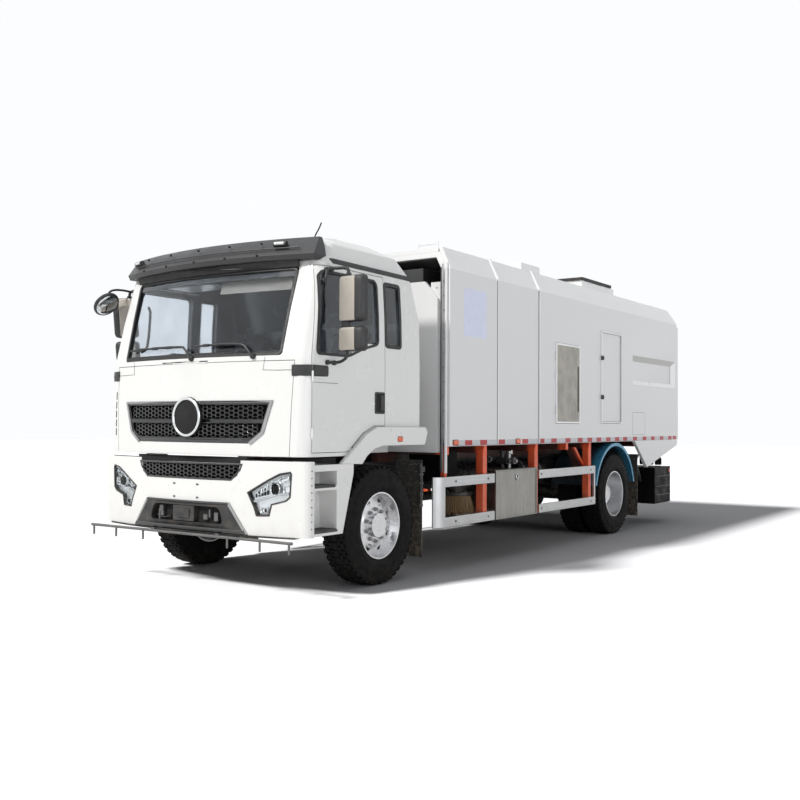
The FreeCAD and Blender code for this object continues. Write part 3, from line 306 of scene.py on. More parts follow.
# by finish: label, colour, roughness and metal, then what mottle, shine and bumps are given
PLAIN = {
    # The lighter white on ribs, seam edges, recess bevels and door frames is a painted highlight; the darker edge
    # shade on the recess's top bevel is painted shade.
    "edge_white": ("edge_paint", (0.93, 0.935, 0.94), 0.30, 0.0, (0.012, 2.0), (0.04, 4), (0.05, 700, 0.0003)),
    "edge_shade": ("edge_shade", (0.47, 0.465, 0.45), 0.40, 0.0, (0.03, 2.0), (0.04, 4), (0.05, 700, 0.0003)),
    "lamp_lens": ("lamp_lens", (0.93, 0.95, 0.96), 0.06, 0.0, (0.04, 10), (0.04, 12), (0.05, 120, 0.0005)),
    "seat_fabric": ("seat_cloth", (0.075, 0.080, 0.09), 0.85, 0.0, (0.25, 30), (0.1, 40), (0.6, 700, 0.0015)),
    "dash_plastic": ("dash_moulding", (0.090, 0.096, 0.105), 0.55, 0.0, (0.14, 9), (0.1, 9), (0.35, 700, 0.0007)),
    "broom_bristle": ("broom_bristle", (0.23, 0.145, 0.07), 0.7, 0.0, (0.4, 90), (0.1, 60),
                      (0.5, 500, 0.001, (1, 1, 0.05))),
    "seal_rubber": ("seal_rubber", (0.012, 0.012, 0.013), 0.55, 0.0, (0.2, 20), (0.1, 20), (0.2, 500, 0.0005)),
    # Near black for dark joints and holes, and as painted shadow on plates behind grilles and in recesses.
    "dark_gap": ("gap_shadow", (0.004, 0.004, 0.004), 0.9, 0.0, (0.3, 20), (0.05, 8), (0.1, 200, 0.0005)),
    "chrome": ("bright_metal", (0.78, 0.79, 0.80), 0.10, 1.0, (0.06, 14), (0.05, 20), (0.05, 200, 0.0003)),
    "satin": ("satin_trim", (0.36, 0.36, 0.365), 0.38, 0.8, (0.08, 12), (0.08, 14), (0.1, 400, 0.0004)),
    "grille_gloss": ("grille_gloss", (0.018, 0.018, 0.019), 0.16, 0.0, (0.2, 18), (0.06, 20), (0.08, 300, 0.0004)),
    "mirror_glass": ("mirror_glass", (0.75, 0.78, 0.80), 0.03, 1.0, (0.04, 8), (0.015, 8), (0.02, 5, 0.001)),
    "reflector": ("lamp_reflector", (0.90, 0.91, 0.92), 0.30, 0.5, (0.04, 8), (0.03, 20), (0.04, 90, 0.0004)),
    "amber": ("amber_lens", (0.78, 0.115, 0.012), 0.18, 0.0, (0.15, 60), (0.05, 40), (0.4, 420, 0.0012)),
    "red_lens": ("red_lens", (0.52, 0.012, 0.010), 0.18, 0.0, (0.15, 60), (0.05, 40), (0.4, 420, 0.0012)),
    "marker_lens": ("marker_lens", (0.62, 0.63, 0.64), 0.2, 0.0, (0.1, 60), (0.05, 50), (0.4, 500, 0.001)),
    "tape_red": ("tape_red", (0.44, 0.018, 0.022), 0.40, 0.0, (0.16, 40), (0.06, 40),
                 (0.5, 700, 0.0005, (1, 1, 1), 0)),
    "tape_silver": ("tape_silver", (0.52, 0.53, 0.56), 0.32, 0.35, (0.16, 40), (0.06, 40),
                    (0.5, 700, 0.0005, (1, 1, 1), 0)),
    "sign_blue": ("blank_sign", (0.70, 0.74, 0.90), 0.35, 0.0, (0.04, 12), (0.05, 12), (0.05, 500, 0.0003)),
    "woven_wire": ("woven_wire", (0.56, 0.54, 0.49), 0.50, 0.15, (0.22, 7), (0.1, 20), (0.2, 600, 0.0005)),
    "hose_rubber": ("hose_rubber", (0.016, 0.016, 0.017), 0.5, 0.0, (0.25, 20), (0.1, 20), (0.3, 300, 0.0008)),
    "brass": ("fitting_metal", (0.55, 0.53, 0.48), 0.25, 1.0, (0.12, 40), (0.08, 40), (0.1, 300, 0.0004)),
    "fender_edge": ("fender_edge", (0.16, 0.42, 0.58), 0.35, 0.0, (0.1, 12), (0.08, 12), (0.1, 300, 0.0004)),
    "clear_film": ("clear_film", (0.95, 0.96, 0.97), 0.08, 0.0, (0.03, 20), (0.04, 30),
                   (0.7, 30, 0.010, (1, 1, 0.2))),
}
# weight and roughness of a clear coat
COATS = {"cab_white": (0.6, 0.08), "cab_plastic_white": (0.35, 0.12), "body_white": (0.35, 0.15),
         "edge_white": (0.35, 0.15), "fender_blue": (0.3, 0.15), "grille_gloss": (0.6, 0.05), "amber": (0.5, 0.05),
         "red_lens": (0.5, 0.05), "marker_lens": (0.5, 0.05)}
# how strongly what lets light through bends it
CLEAR = {"lamp_lens": 1.12, "cab_glass": 1.38, "clear_film": 1.25}


def make_finishes():
    """Every finish by name; the record's material slots are among them."""
    hue = paint()
    body, cab = tuple(hue.body), tuple(hue.cab)
    painted_wall_shade = tuple(part * WALL_SHADE_TONE for part in body)
    made = {
        "cab_white": Finish("cab_paint", cab, 0.26).mottle(0.012, 1.2).inside(LINING, CABIN_CENTRE)
            .dust(1.30, 0.5, 0.10).shine(0.03, 3).bumps(0.05, 700, 0.0004),
        "cab_plastic_white": Finish("cab_moulding", cab, 0.34).mottle(0.015, 2.2).dust(0.9, 0.40, 0.14)
            .shine(0.08, 7).bumps(0.10, 900, 0.0004),
        # body paint with painted shade: darker below the shoulder's edge at z 2.84
        "body_white": Finish("body_paint", body, 0.30).mottle(0.012, 0.6).under(painted_wall_shade, 2.838, 2.846)
            .dust(1.3, 0.8, 0.08).shine(0.03, 0.9).bumps(0.03, 0.8, 0.006, detail=0.0).bumps(0.03, 600, 0.0003),
        "frame_paint": Finish("chassis_paint", (0.022, 0.022, 0.024), 0.55).mottle(0.3, 8).dust(1.1, 0.2, 0.35)
            .shine(0.15, 9).bumps(0.2, 260, 0.0008),
        "engine_casting": Finish("engine_casting", (0.085, 0.088, 0.09), 0.6, 0.3).mottle(0.3, 14)
            .dust(1.2, 0.3, 0.45).shine(0.12, 14).bumps(0.5, 320, 0.0012),
        "tank_metal": Finish("tank_metal", (0.46, 0.47, 0.48), 0.38, 0.9).mottle(0.12, 5).dust(0.9, 0.3, 0.3)
            .shine(0.12, 8, (1, 6, 1)).bumps(0.15, 90, 0.0006, (8, 1, 8)),
        "black_plastic": Finish("black_moulding", (0.020, 0.020, 0.021), 0.48).mottle(0.2, 12).dust(1.0, 0.2, 0.30)
            .shine(0.12, 11).bumps(0.35, 650, 0.0006),
        "visor_plastic": Finish("visor_moulding", tuple(hue.visor), 0.42).mottle(0.16, 4).shine(0.10, 6)
            .specks((0.09, 0.09, 0.09), 240, 0.63, 0.68, 0.5).bumps(0.30, 800, 0.0006),
        "cab_glass": Finish("window_glass", tuple(hue.glass), 0.04).mottle(0.08, 3).shine(0.02, 3)
            .bumps(0.02, 3, 0.002),
        "mirror_face": Finish("mirror_face", tuple(hue.mirror), 0.38, 0.25).mottle(0.06, 9).shine(0.06, 9)
            .bumps(0.1, 700, 0.0004),
        "floor_steel": Finish("floor_steel", (0.20, 0.20, 0.20), 0.5, 0.4).mottle(0.25, 6).dust(1.5, 0.9, 0.3)
            .shine(0.15, 8).bumps(0.3, 60, 0.001),
        "housing_dark": Finish("housing_paint", (0.030, 0.031, 0.033), 0.5).mottle(0.25, 5).dust(2.0, 0.8, 0.2)
            .shine(0.12, 6).bumps(0.2, 300, 0.0006),
        "subframe_orange": Finish("subframe_paint", tuple(hue.subframe), 0.40).mottle(0.22, 7)
            # painted shade: the subframe's inner parts turn near black, for the shadow under the body
            .core((0.020, 0.018, 0.017), 1.08, 1.13, 0.93).specks((0.22, 0.05, 0.03), 30, 0.62, 0.70, 0.4)
            .dust(1.2, 0.3, 0.28).shine(0.12, 8).bumps(0.15, 300, 0.0006),
        "fender_blue": Finish("fender_paint", tuple(hue.fender), 0.36).mottle(0.18, 6)
            # painted shade: the fender's inner parts turn near black, for the shadow inside the arch
            .core((0.010, 0.014, 0.018), 1.09, 1.17, 0.95).dust(1.2, 0.5, 0.26).shine(0.12, 8)
            .bumps(0.12, 400, 0.0005),
        "guard_aluminium": Finish("guard_aluminium", (0.50, 0.505, 0.51), 0.36, 1.0).mottle(0.10, 5, 1.0)
            .dust(0.8, 0.3, 0.22).shine(0.10, 30, (1, 0.05, 4)).bumps(0.12, 220, 0.0005, (1, 0.03, 1)),
        "cabinet_steel": Finish("cabinet_steel", (0.27, 0.265, 0.25), 0.30, 1.0).mottle(0.12, 4, 2.0)
            .dust(0.8, 0.35, 0.2).shine(0.08, 24, (1, 1, 0.06)).bumps(0.10, 260, 0.0004, (1, 1, 0.03)),
        "bar_steel": Finish("bar_steel", (0.16, 0.16, 0.16), 0.42, 0.7).mottle(0.2, 12).dust(0.7, 0.2, 0.3)
            .shine(0.12, 12).bumps(0.2, 200, 0.0006),
        "flap_rubber": Finish("flap_rubber", (0.030, 0.029, 0.028), 0.75).mottle(0.3, 12)
            .dust(1.0, 0.15, 0.8, (0.24, 0.20, 0.145), 22).specks((0.24, 0.20, 0.15), 60, 0.58, 0.68, 0.5)
            .shine(0.1, 14).bumps(0.4, 220, 0.001),
        "tyre_rubber": Finish("tyre_rubber", (0.0055, 0.0055, 0.0056), 0.72).mottle(0.25, 10)
            .dust(0.30, 0.0, 0.30, (0.10, 0.085, 0.07), 16).specks((0.06, 0.055, 0.05), 110, 0.62, 0.72, 0.3)
            .shine(0.10, 18).bumps(0.35, 420, 0.0008).set(Specular_IOR_Level=0.12),
        "wheel_metal": Finish("wheel_metal", (0.66, 0.66, 0.67), 0.30, 0.95).mottle(0.08, 5).dust(0.35, 0.1, 0.2)
            .specks((0.40, 0.38, 0.35), 60, 0.68, 0.76, 0.15).shine(0.05, 8).bumps(0.05, 240, 0.0003),
        "sweep_black": Finish("sweep_box_paint", (0.005, 0.005, 0.0055), 0.50).mottle(0.3, 6).dust(0.9, 0.2, 0.04)
            .specks((0.04, 0.035, 0.03), 60, 0.64, 0.72, 0.2).shine(0.14, 7).bumps(0.2, 240, 0.0008)
            .set(Specular_IOR_Level=0.08),
    }
    for name, (label, tone, rough, metal, mottle, shine, relief) in PLAIN.items():
        made[name] = Finish(label, tone, rough, metal).mottle(*mottle).shine(*shine).bumps(*relief)
    for name, (weight, rough) in COATS.items():
        made[name].set(Coat_Weight=weight, Coat_Roughness=rough)
    for name, index in CLEAR.items():
        made[name].set(Transmission_Weight=1.0, IOR=index)
    made["seat_fabric"].set(Sheen_Weight=0.4, Sheen_Roughness=0.4)
    return {name: finish.done() for name, finish in made.items()}


FINISHES = {}


# ---- shapes ----

def smooth_path(points, steps=8):
    """Points along a smooth curve through the given ones."""
    spots = [Vector(point) for point in points]
    ends = [2 * spots[0] - spots[1]] + spots + [2 * spots[-1] - spots[-2]]
    path = []
    for before, start, stop, after in zip(ends, ends[1:], ends[2:], ends[3:]):
        for step in range(steps):
            t = step / steps
            square, cube = 2 * before - 5 * start + 4 * stop - after, 3 * start - before - 3 * stop + after
            path.append(0.5 * ((2 * start) + (stop - before) * t + square * t * t + cube * t ** 3))
    return path + [spots[-1]]


def softened(outline, radius, steps=4):
    """A flat outline with its corners rounded; radius is one number or one a corner."""
    radii = radius if isinstance(radius, (list, tuple)) else [radius] * len(outline)
    result = []
    for index, (point, r) in enumerate(zip(outline, radii)):
        corner = Vector(point)
        before = Vector(outline[index - 1]) - corner
        after = Vector(outline[(index + 1) % len(outline)]) - corner
        reach = min(r, before.length * 0.49, after.length * 0.49)
        if reach <= 0:
            result.append(tuple(corner))
            continue
        start, stop = corner + before.normalized() * reach, corner + after.normalized() * reach
        for step in range(steps + 1):
            t = step / steps
            result.append(tuple(start * (1 - t) ** 2 + corner * 2 * t * (1 - t) + stop * t * t))
    return result


def inset(outline, distance):
    """A flat outline moved inwards by a distance; the outline runs anticlockwise."""
    result = []
    count = len(outline)
    for index in range(count):
        before, here, after = (Vector(outline[(index + step) % count]) for step in (-1, 0, 1))
        first, second = (here - before).normalized(), (after - here).normalized()
        normal_a, normal_b = Vector((-first.y, first.x)), Vector((-second.y, second.x))
        bisector = (normal_a + normal_b)
        bisector = bisector.normalized() if bisector.length > 1e-6 else normal_a
        result.append(tuple(here + bisector * distance / max(0.35, bisector.dot(normal_a))))
    return result


def dense(outline, step=0.06):
    """The same outline with more points on its long edges, so that it can follow a bowed face."""
    result = []
    for start, stop in zip(outline, list(outline[1:]) + [outline[0]]):
        start, stop = Vector(start), Vector(stop)
        count = max(1, math.ceil((stop - start).length / step))
        result += [tuple(start.lerp(stop, index / count)) for index in range(count)]
    return result


def frontal(face, proud=0.0):
    """Places (x, z, depth) on a bowed front face; depth counts outwards from proud."""
    return lambda u, v, depth=0.0: Vector((u, face(u) - proud - depth, v))


def lateral(x, side=1):
    """Places (y, z, depth) on a side wall at a distance x from the middle; depth counts outwards."""
    return lambda u, v, depth=0.0: Vector((side * (x + depth), u, v))


def flank(x, side):
    """The same, but with the distance behind the front axle in place of y."""
    return lambda u, v, depth=0.0: Vector((side * (x + depth), aft(u), v))


def rearward(y):
    """Places (x, z, depth) on a flat wall that faces the rear; depth counts outwards."""
    return lambda u, v, depth=0.0: Vector((u, y + depth, v))


def level(z):
    """Places (x, y, depth) on a level surface; depth counts upwards."""
    return lambda u, v, depth=0.0: Vector((u, v, z + depth))


def rectangle(u0, u1, v0, v1):
    """An anticlockwise rectangle."""
    return [(u0, v0), (u1, v0), (u1, v1), (u0, v1)]


def trapezoid(half_low, half_high, z0, z1):
    """An outline about the middle of the front, as wide as its two halves below and above."""
    return [(-half_low, z0), (half_low, z0), (half_high, z1), (-half_high, z1)]


def rounded(u0, u1, v0, v1, radius, steps=4):
    """A rectangle with round corners."""
    return softened(rectangle(u0, u1, v0, v1), radius, steps)


def strip(half_low, half_high, z0, z1, step=0.08):
    """A trapezoid with enough points to follow a bowed face."""
    return dense(trapezoid(half_low, half_high, z0, z1), step)


def beside(sign, *points):
    """Points of one side, given as distances out, behind the front axle, and up."""
    return [Vector((sign * x, aft(y), z)) for x, y, z in points]


def around(centre, radius, angle, z):
    """A point on a level circle about a centre."""
    return Vector((centre.x + radius * math.cos(angle), centre.y + radius * math.sin(angle), z))


def circle(u, v, radius, steps):
    """A round outline."""
    return [(u + radius * math.cos(a), v + radius * math.sin(a)) for a in angles(steps)]


def angles(count):
    """Equal steps round a circle."""
    return [2 * math.pi * step / count for step in range(count)]


FLAT_WITHIN = 0.6  # degrees between triangles that count as one face


class Shape:
    """Collects the faces of one piece; each part of it takes the finish in use."""

    def __init__(self, finish):
        self.mesh = bmesh.new()
        self.finishes = [finish]
        self.index = 0

    def use(self, finish):
        """What is added next takes this finish."""
        if finish not in self.finishes:
            self.finishes.append(finish)
        self.index = self.finishes.index(finish)
        return self

    def add(self, points, loops):
        """Faces over new points."""
        corners = [self.mesh.verts.new(point) for point in points]
        made = []
        for loop in loops:
            face = self.mesh.faces.new([corners[index] for index in loop])
            face.material_index = self.index
            face.smooth = True
            made.append(face)
        bmesh.ops.recalc_face_normals(self.mesh, faces=made)
        return self

    def rings(self, rows, closed=True, capped=True, joined=False):
        """Faces between rows of equally many points; closed goes round a row, joined from the last to the first."""
        wide = len(rows[0])
        points = [point for row in rows for point in row]
        loops = []
        last = len(rows) if joined else len(rows) - 1
        for row in range(last):
            nxt = (row + 1) % len(rows)
            for index in range(wide if closed else wide - 1):
                after = (index + 1) % wide
                loops.append((row * wide + index, row * wide + after, nxt * wide + after, nxt * wide + index))
        if capped and closed and not joined:
            loops.append(tuple(range(wide)))
            loops.append(tuple((len(rows) - 1) * wide + index for index in range(wide)))
        return self.add(points, loops)

    def plate(self, outline, place, low=0.0, high=0.01, edge=0.0):
        """A plate on a surface, from depth low to high, with a small bevel on its outer edge."""
        rows = [[place(u, v, low) for u, v in outline]]
        if edge:
            rows.append([place(u, v, high - edge) for u, v in outline])
            outline = inset(outline, edge)
        rows.append([place(u, v, high) for u, v in outline])
        return self.rings(rows)

    def hoop(self, outline, place, width, low=0.0, high=0.01, edge=0.0):
        """A frame along an outline, as wide as width inwards."""
        inner = inset(outline, width)
        depths = [(outline, low), (outline, high - edge), (inner, high - edge), (inner, low)]
        if edge:
            depths[2:2] = [(inset(outline, edge), high), (inset(outline, width - edge), high)]
        rows = [[place(u, v, depth) for u, v in ring] for ring, depth in depths]
        return self.rings(rows, joined=True, capped=False)

    def box(self, first, second):
        """A block between two opposite corners."""
        (x0, x1), (y0, y1), (z0, z1) = (sorted(pair) for pair in zip(first, second))
        return self.rings([[(x, y, z) for x, y in rectangle(x0, x1, y0, y1)] for z in (z0, z1)])

    def rod(self, start, stop, radius, sides=16, end=None):
        """A round bar, or a cone when end gives another radius."""
        start, stop = Vector(start), Vector(stop)
        turn = (stop - start).to_track_quat("Z", "Y")
        rows = []
        for centre, r in ((start, radius), (stop, radius if end is None else end)):
            rows.append([centre + turn @ Vector((r * math.cos(a), r * math.sin(a), 0)) for a in angles(sides)])
        return self.rings(rows)

    def tube(self, points, radius, sides=10, steps=6, smooth=True):
        """A round bar along a path."""
        path = smooth_path(points, steps) if smooth else [Vector(point) for point in points]
        rows = []
        up = Vector((0.01, 0.02, 1.0)).normalized()
        for index, here in enumerate(path):
            along = (path[min(index + 1, len(path) - 1)] - path[max(index - 1, 0)]).normalized()
            side = along.cross(up)
            if side.length < 0.05:
                side = along.cross(Vector((1, 0, 0)))
            side.normalize()
            up = side.cross(along).normalized()
            rows.append([here + radius * (side * math.cos(a) + up * math.sin(a)) for a in angles(sides)])
        return self.rings(rows)

    def staple(self, ends, foot, top, radius):
        """A square handle: out of the surface at one end, along, and back in at the other."""
        first, second = ends
        return self.tube([first(foot), first(top), second(top), second(foot)], radius, smooth=False)

    def lathe(self, profile, centre, axis="X", sides=64, closed=False):
        """A turned form; profile gives (distance along the axis, radius) outwards from the centre."""
        centre = Vector(centre)
        turn = {"X": lambda d, c, s: Vector((d, c, s)), "Y": lambda d, c, s: Vector((c, d, s)),
            "Z": lambda d, c, s: Vector((c, s, d))}[axis]
        rows = [[centre + turn(distance, radius * math.cos(a), radius * math.sin(a)) for a in angles(sides)]
            for distance, radius in profile]
        return self.rings(rows, capped=not closed, joined=closed)

    def copy_of(self, node):
        """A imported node's mesh, with its triangles joined into the faces they came from."""
        source = bmesh.new()
        source.from_mesh(frame["nodes"][node].data)
        bmesh.ops.remove_doubles(source, verts=source.verts, dist=2e-5)
        bmesh.ops.dissolve_limit(source, angle_limit=math.radians(FLAT_WITHIN), verts=source.verts,
            edges=source.edges)
        mesh = bpy.data.meshes.new("carried")
        source.to_mesh(mesh)
        source.free()
        first = len(self.mesh.faces)
        self.mesh.from_mesh(mesh)
        self.mesh.faces.ensure_lookup_table()
        for face in self.mesh.faces[first:]:
            face.material_index = self.index
            face.smooth = True
        bpy.data.meshes.remove(mesh)
        return self

    def piece(self, name, body, slot, replaces=(), bevel=0.0, sharp=32, weld=True):
        """Ends the shape as an object that rides on a body."""
        if weld:
            bmesh.ops.remove_doubles(self.mesh, verts=self.mesh.verts, dist=1e-5)
        mesh = bpy.data.meshes.new(name)
        self.mesh.to_mesh(mesh)
        self.mesh.free()
        for finish in self.finishes:
            mesh.materials.append(FINISHES[finish])
        mesh.set_sharp_from_angle(angle=math.radians(sharp))
        made = bpy.data.objects.new(name, mesh)
        bpy.context.scene.collection.objects.link(made)
        if bevel:
            edge = made.modifiers.new("edges", "BEVEL")
            edge.width, edge.segments, edge.limit_method = bevel, 2, "ANGLE"
            edge.angle_limit, edge.harden_normals = math.radians(sharp), True
            edge.use_clamp_overlap = True
        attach(made, body)
        if replaces:
            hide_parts(*replaces)
        return made


def dressed(node, body, slot, bevel=0.004, sharp=32):
    """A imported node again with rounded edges."""
    return Shape(slot).copy_of(node).piece(node + "_dressed", body, slot, (node,), bevel, sharp, False)


# ---- stage ----

def new_light(name, kind, towards, energy, **settings):
    """A lamp that shines along a direction."""
    lamp = bpy.data.lights.new(name, kind)
    lamp.energy = energy
    for key, value in settings.items():
        setattr(lamp, key, value)
    holder = bpy.data.objects.new(name, lamp)
    bpy.context.scene.collection.objects.link(holder)
    holder.rotation_euler = Vector(towards).to_track_quat("-Z", "Y").to_euler()
    return holder


def background():
    """Even light on the truck, and a plain white for the camera, mirrors and glass."""
    world = bpy.data.worlds.new("studio")
    bpy.context.scene.world = world
    world.use_nodes = True
    nodes, links = world.node_tree.nodes, world.node_tree.links
    ground = nodes["Background"]
    rays = nodes.new("ShaderNodeLightPath")
    seen, also = nodes.new("ShaderNodeMath"), nodes.new("ShaderNodeMath")
    seen.operation = also.operation = "MAXIMUM"
    links.new(rays.outputs["Is Camera Ray"], seen.inputs[0])
    links.new(rays.outputs["Is Glossy Ray"], also.inputs[0])
    links.new(rays.outputs["Is Transmission Ray"], also.inputs[1])
    links.new(also.outputs[0], seen.inputs[1])
    strength = nodes.new("ShaderNodeMapRange")
    links.new(seen.outputs[0], strength.inputs[0])
    strength.inputs[3].default_value = bpy.context.scene.sweeper_stage.sky
    strength.inputs[4].default_value = 1.0
    links.new(strength.outputs[0], ground.inputs["Strength"])
    ground.inputs["Color"].default_value = (0.97, 0.985, 1.0, 1)


def floor_material():
    """A pale floor: white to the camera where light falls, and still shaded under the truck."""
    made = Finish("studio_floor", (0.42, 0.42, 0.42), 0.9).mottle(0.01, 0.3).shine(0.03, 0.5).bumps(0.02, 5, 0.001)
    floor = made.done()
    nodes, links = floor.node_tree.nodes, floor.node_tree.links
    path, mix, bright = (nodes.new("ShaderNode" + kind) for kind in ("LightPath", "MixShader", "BsdfDiffuse"))
    bright.inputs["Color"].default_value = (0.52, 0.52, 0.53, 1.0)
    end = next(node for node in nodes if node.type == "OUTPUT_MATERIAL")
    matt = end.inputs["Surface"].links[0].from_socket
    links.new(path.outputs["Is Camera Ray"], mix.inputs[0])
    links.new(matt, mix.inputs[1])
    links.new(bright.outputs[0], mix.inputs[2])
    links.new(mix.outputs[0], end.inputs["Surface"])
    return floor


CAMERA_PLACE = (6.040, -9.832, 1.378)
CAMERA_TURN = (35.212, 1.407, 0.316)  # degrees of yaw, pitch and roll
SENSOR_MM, LENS_MM, LENS_SHIFT = 36.0, 43.78, 0.0108


def camera():
    """The photograph's view."""
    lens = bpy.data.cameras.new("view")
    lens.sensor_width, lens.lens, lens.shift_x = SENSOR_MM, LENS_MM, LENS_SHIFT
    lens.clip_end = 300
    holder = bpy.data.objects.new("view", lens)
    bpy.context.scene.collection.objects.link(holder)
    yaw, pitch, roll = (math.radians(angle) for angle in CAMERA_TURN)
    ahead = Vector((-math.sin(yaw) * math.cos(pitch), math.cos(yaw) * math.cos(pitch), math.sin(pitch)))
    right = Vector((math.cos(yaw), math.sin(yaw), 0))
    up = right.cross(ahead)
    turned_right = right * math.cos(roll) + up * math.sin(roll)
    turned_up = up * math.cos(roll) - right * math.sin(roll)
    turn = Matrix((turned_right, turned_up, -ahead)).transposed().to_4x4()
    holder.matrix_world = Matrix.Translation(CAMERA_PLACE) @ turn
    bpy.context.scene.camera = holder


KEY_DIRECTION = (0.229, 0.748, -0.624)


class SWEEPER_OT_stage(bpy.types.Operator):
    """Sets the floor, the lamps, the even light and the camera"""
    bl_idname = "sweeper.stage"
    bl_label = "Studio"

    def execute(self, context):
        light = context.scene.sweeper_stage
        context.scene.view_settings.view_transform = "Standard"
        bm = bmesh.new()
        bmesh.ops.create_grid(bm, x_segments=8, y_segments=8, size=60)
        mesh = bpy.data.meshes.new("floor")
        bm.to_mesh(mesh)
        bm.free()
        mesh.materials.append(floor_material())
        ground = bpy.data.objects.new("floor", mesh)
        context.scene.collection.objects.link(ground)
        new_light("key_light", "SUN", KEY_DIRECTION, light.key, angle=light.key_angle, color=(1.0, 0.985, 0.955))
        floor_light = new_light("floor_light", "SUN", KEY_DIRECTION, light.ground, angle=light.key_angle)
        lit = bpy.data.collections.new("floor_only")
        lit.objects.link(ground)
        floor_light.light_linking.receiver_collection = lit
        new_light("side_fill", "SUN", (-0.95, 0.27, -0.12), light.fill, angle=math.radians(50),
            color=(0.93, 0.96, 1.0))
        new_light("top_fill", "SUN", (0.10, 0.20, -0.97), light.top, angle=math.radians(60), color=(0.97, 0.98, 1.0))
        background()
        camera()
        return {"FINISHED"}


class SWEEPER_OT_carried(bpy.types.Operator):
    """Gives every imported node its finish"""
    bl_idname = "sweeper.carried"
    bl_label = "Packed nodes"

    def execute(self, context):
        FINISHES.update(make_finishes())
        for node in frame["nodes"].values():
            for entry in node.material_slots:
                entry.material = FINISHES[entry.material.name.split(".")[0]]
        return {"FINISHED"}


# ---- tyres and wheels ----

FRONT_TYRE_X, REAR_TYRES_X = 1.020, (1.083, 0.773)
FRONT_NUTS_X, REAR_NUTS_X = 1.080, 0.938
NUT_COUNT, NUT_CIRCLE = 10, 0.137


def tyre(shape, x, y):
    """A road tyre: bulging walls with fine rings, and a tread of blocks between grooves."""
    r = TYRE_RADIUS
    wall = [(0.108, 0.289), (0.118, 0.292), (0.124, 0.300), (0.126, 0.312), (0.131, 0.318), (0.1345, 0.335),
        (0.1350, 0.341), (0.1368, 0.343), (0.1372, 0.349), (0.1358, 0.352), (0.1375, 0.372), (0.1378, 0.392),
        (0.1365, 0.412), (0.1350, 0.416), (0.1352, 0.424), (0.1338, 0.428), (0.1290, 0.449), (0.1255, 0.462),
        (0.1262, 0.467), (0.1215, 0.480), (0.1150, r - 0.016)]
    profile = [(-d, radius) for d, radius in wall] + [(d, radius) for d, radius in reversed(wall)]
    shape.use("tyre_rubber").lathe(profile, (x, y, WHEEL_Z), "X", 96, closed=True)
    count = sizes().tread_blocks
    ribs = [(0.100, 0.1225, 0.0, 0.55), (0.064, 0.0955, 0.5, 0.78), (0.034, 0.0595, 0.0, 0.86)]
    ribs += [(-0.0295, 0.0295, 0.5, 0.90)] + [(-high, -low, phase + 0.5, fill) for low, high, phase, fill in ribs]
    for low, high, phase, fill in ribs:
        for block in range(count):
            start = 2 * math.pi * (block + phase) / count
            stop = start + 2 * math.pi * fill / count
            rows = []
            for radius, shrink in ((r - 0.018, 0.0), (r - 0.003, 0.0), (r, 0.003)):
                row = []
                for d, a in ((low + shrink, start + shrink / r), (high - shrink, start + shrink / r),
                        (high - shrink, stop - shrink / r), (low + shrink, stop - shrink / r)):
                    fall = 0.004 if abs(d) > 0.105 and radius > r - 0.01 else 0.0
                    row.append((x + d, y + (radius - fall) * math.cos(a), WHEEL_Z + (radius - fall) * math.sin(a)))
                rows.append(row)
            shape.rings(rows)
    return shape


def nuts(shape, x, y, sign):
    """Wheel nuts on their circle: flange, nut and stud."""
    for step in range(NUT_COUNT):
        a = 2 * math.pi * (step + 0.5) / NUT_COUNT
        foot = Vector((x, y + NUT_CIRCLE * math.cos(a), WHEEL_Z + NUT_CIRCLE * math.sin(a)))
        for start, stop, radius, sides in ((0.0, 0.006, 0.0195, 18), (0.006, 0.026, 0.0155, 6),
                (0.026, 0.034, 0.010, 12)):
            shape.rod(foot + Vector((sign * start, 0, 0)), foot + Vector((sign * stop, 0, 0)), radius, sides)


class SWEEPER_OT_tyres(bpy.types.Operator):
    """Makes the two front tyres and the four rear ones with their treads"""
    bl_idname = "sweeper.tyres"
    bl_label = "Tyres"

    def execute(self, context):
        for side, sign in SIDES:
            front = tyre(Shape("tyre_rubber"), sign * FRONT_TYRE_X, AXLE)
            front.piece("road_tyre_front_" + side, "wheel_front_" + side, "tyre_rubber", ("front_tyre_" + side,))
            rear = Shape("tyre_rubber")
            for x in REAR_TYRES_X:
                tyre(rear, sign * x, REAR_AXLE)
            rear.piece("road_tyres_rear_" + side, "wheel_rear_" + side, "tyre_rubber", ("rear_tyres_" + side,))
        return {"FINISHED"}


class SWEEPER_OT_wheels(bpy.types.Operator):
    """Makes the wheel discs with rounded edges, nuts, hub caps and valves"""
    bl_idname = "sweeper.wheels"
    bl_label = "Wheels"

    def execute(self, context):
        for side, sign in SIDES:
            front = Shape("wheel_metal").copy_of("front_rim_" + side).use("satin")
            nuts(front, sign * FRONT_NUTS_X, AXLE, sign)
            front.use("frame_paint").lathe([(sign * d, r) for d, r in ((0.070, 0.080), (0.098, 0.078), (0.106, 0.070),
                (0.110, 0.050), (0.1115, 0.001))], (sign * 1.0, AXLE, WHEEL_Z), "X", 40)
            front.use("brass").rod((sign * 1.066, AXLE + 0.10, WHEEL_Z + 0.225),
                (sign * 1.098, AXLE + 0.095, WHEEL_Z + 0.215), 0.005, 10)
            front.piece("disc_front_" + side, "wheel_front_" + side, "wheel_metal", ("front_rim_" + side,), 0.003)
            rear = Shape("wheel_metal").copy_of("rear_rims_" + side).use("satin")
            nuts(rear, sign * REAR_NUTS_X, REAR_AXLE, sign)
            rear.use("brass").rod((sign * 0.97, REAR_AXLE + 0.11, WHEEL_Z + 0.20),
                (sign * 1.09, REAR_AXLE + 0.115, WHEEL_Z + 0.215), 0.005, 10)
            rear.piece("discs_rear_" + side, "wheel_rear_" + side, "wheel_metal", ("rear_rims_" + side,), 0.003)
        return {"FINISHED"}


# ---- front of the cab ----

LEAN = ((1.500, 0.0), (1.900, 0.015), (2.300, 0.107), (2.680, 0.206))


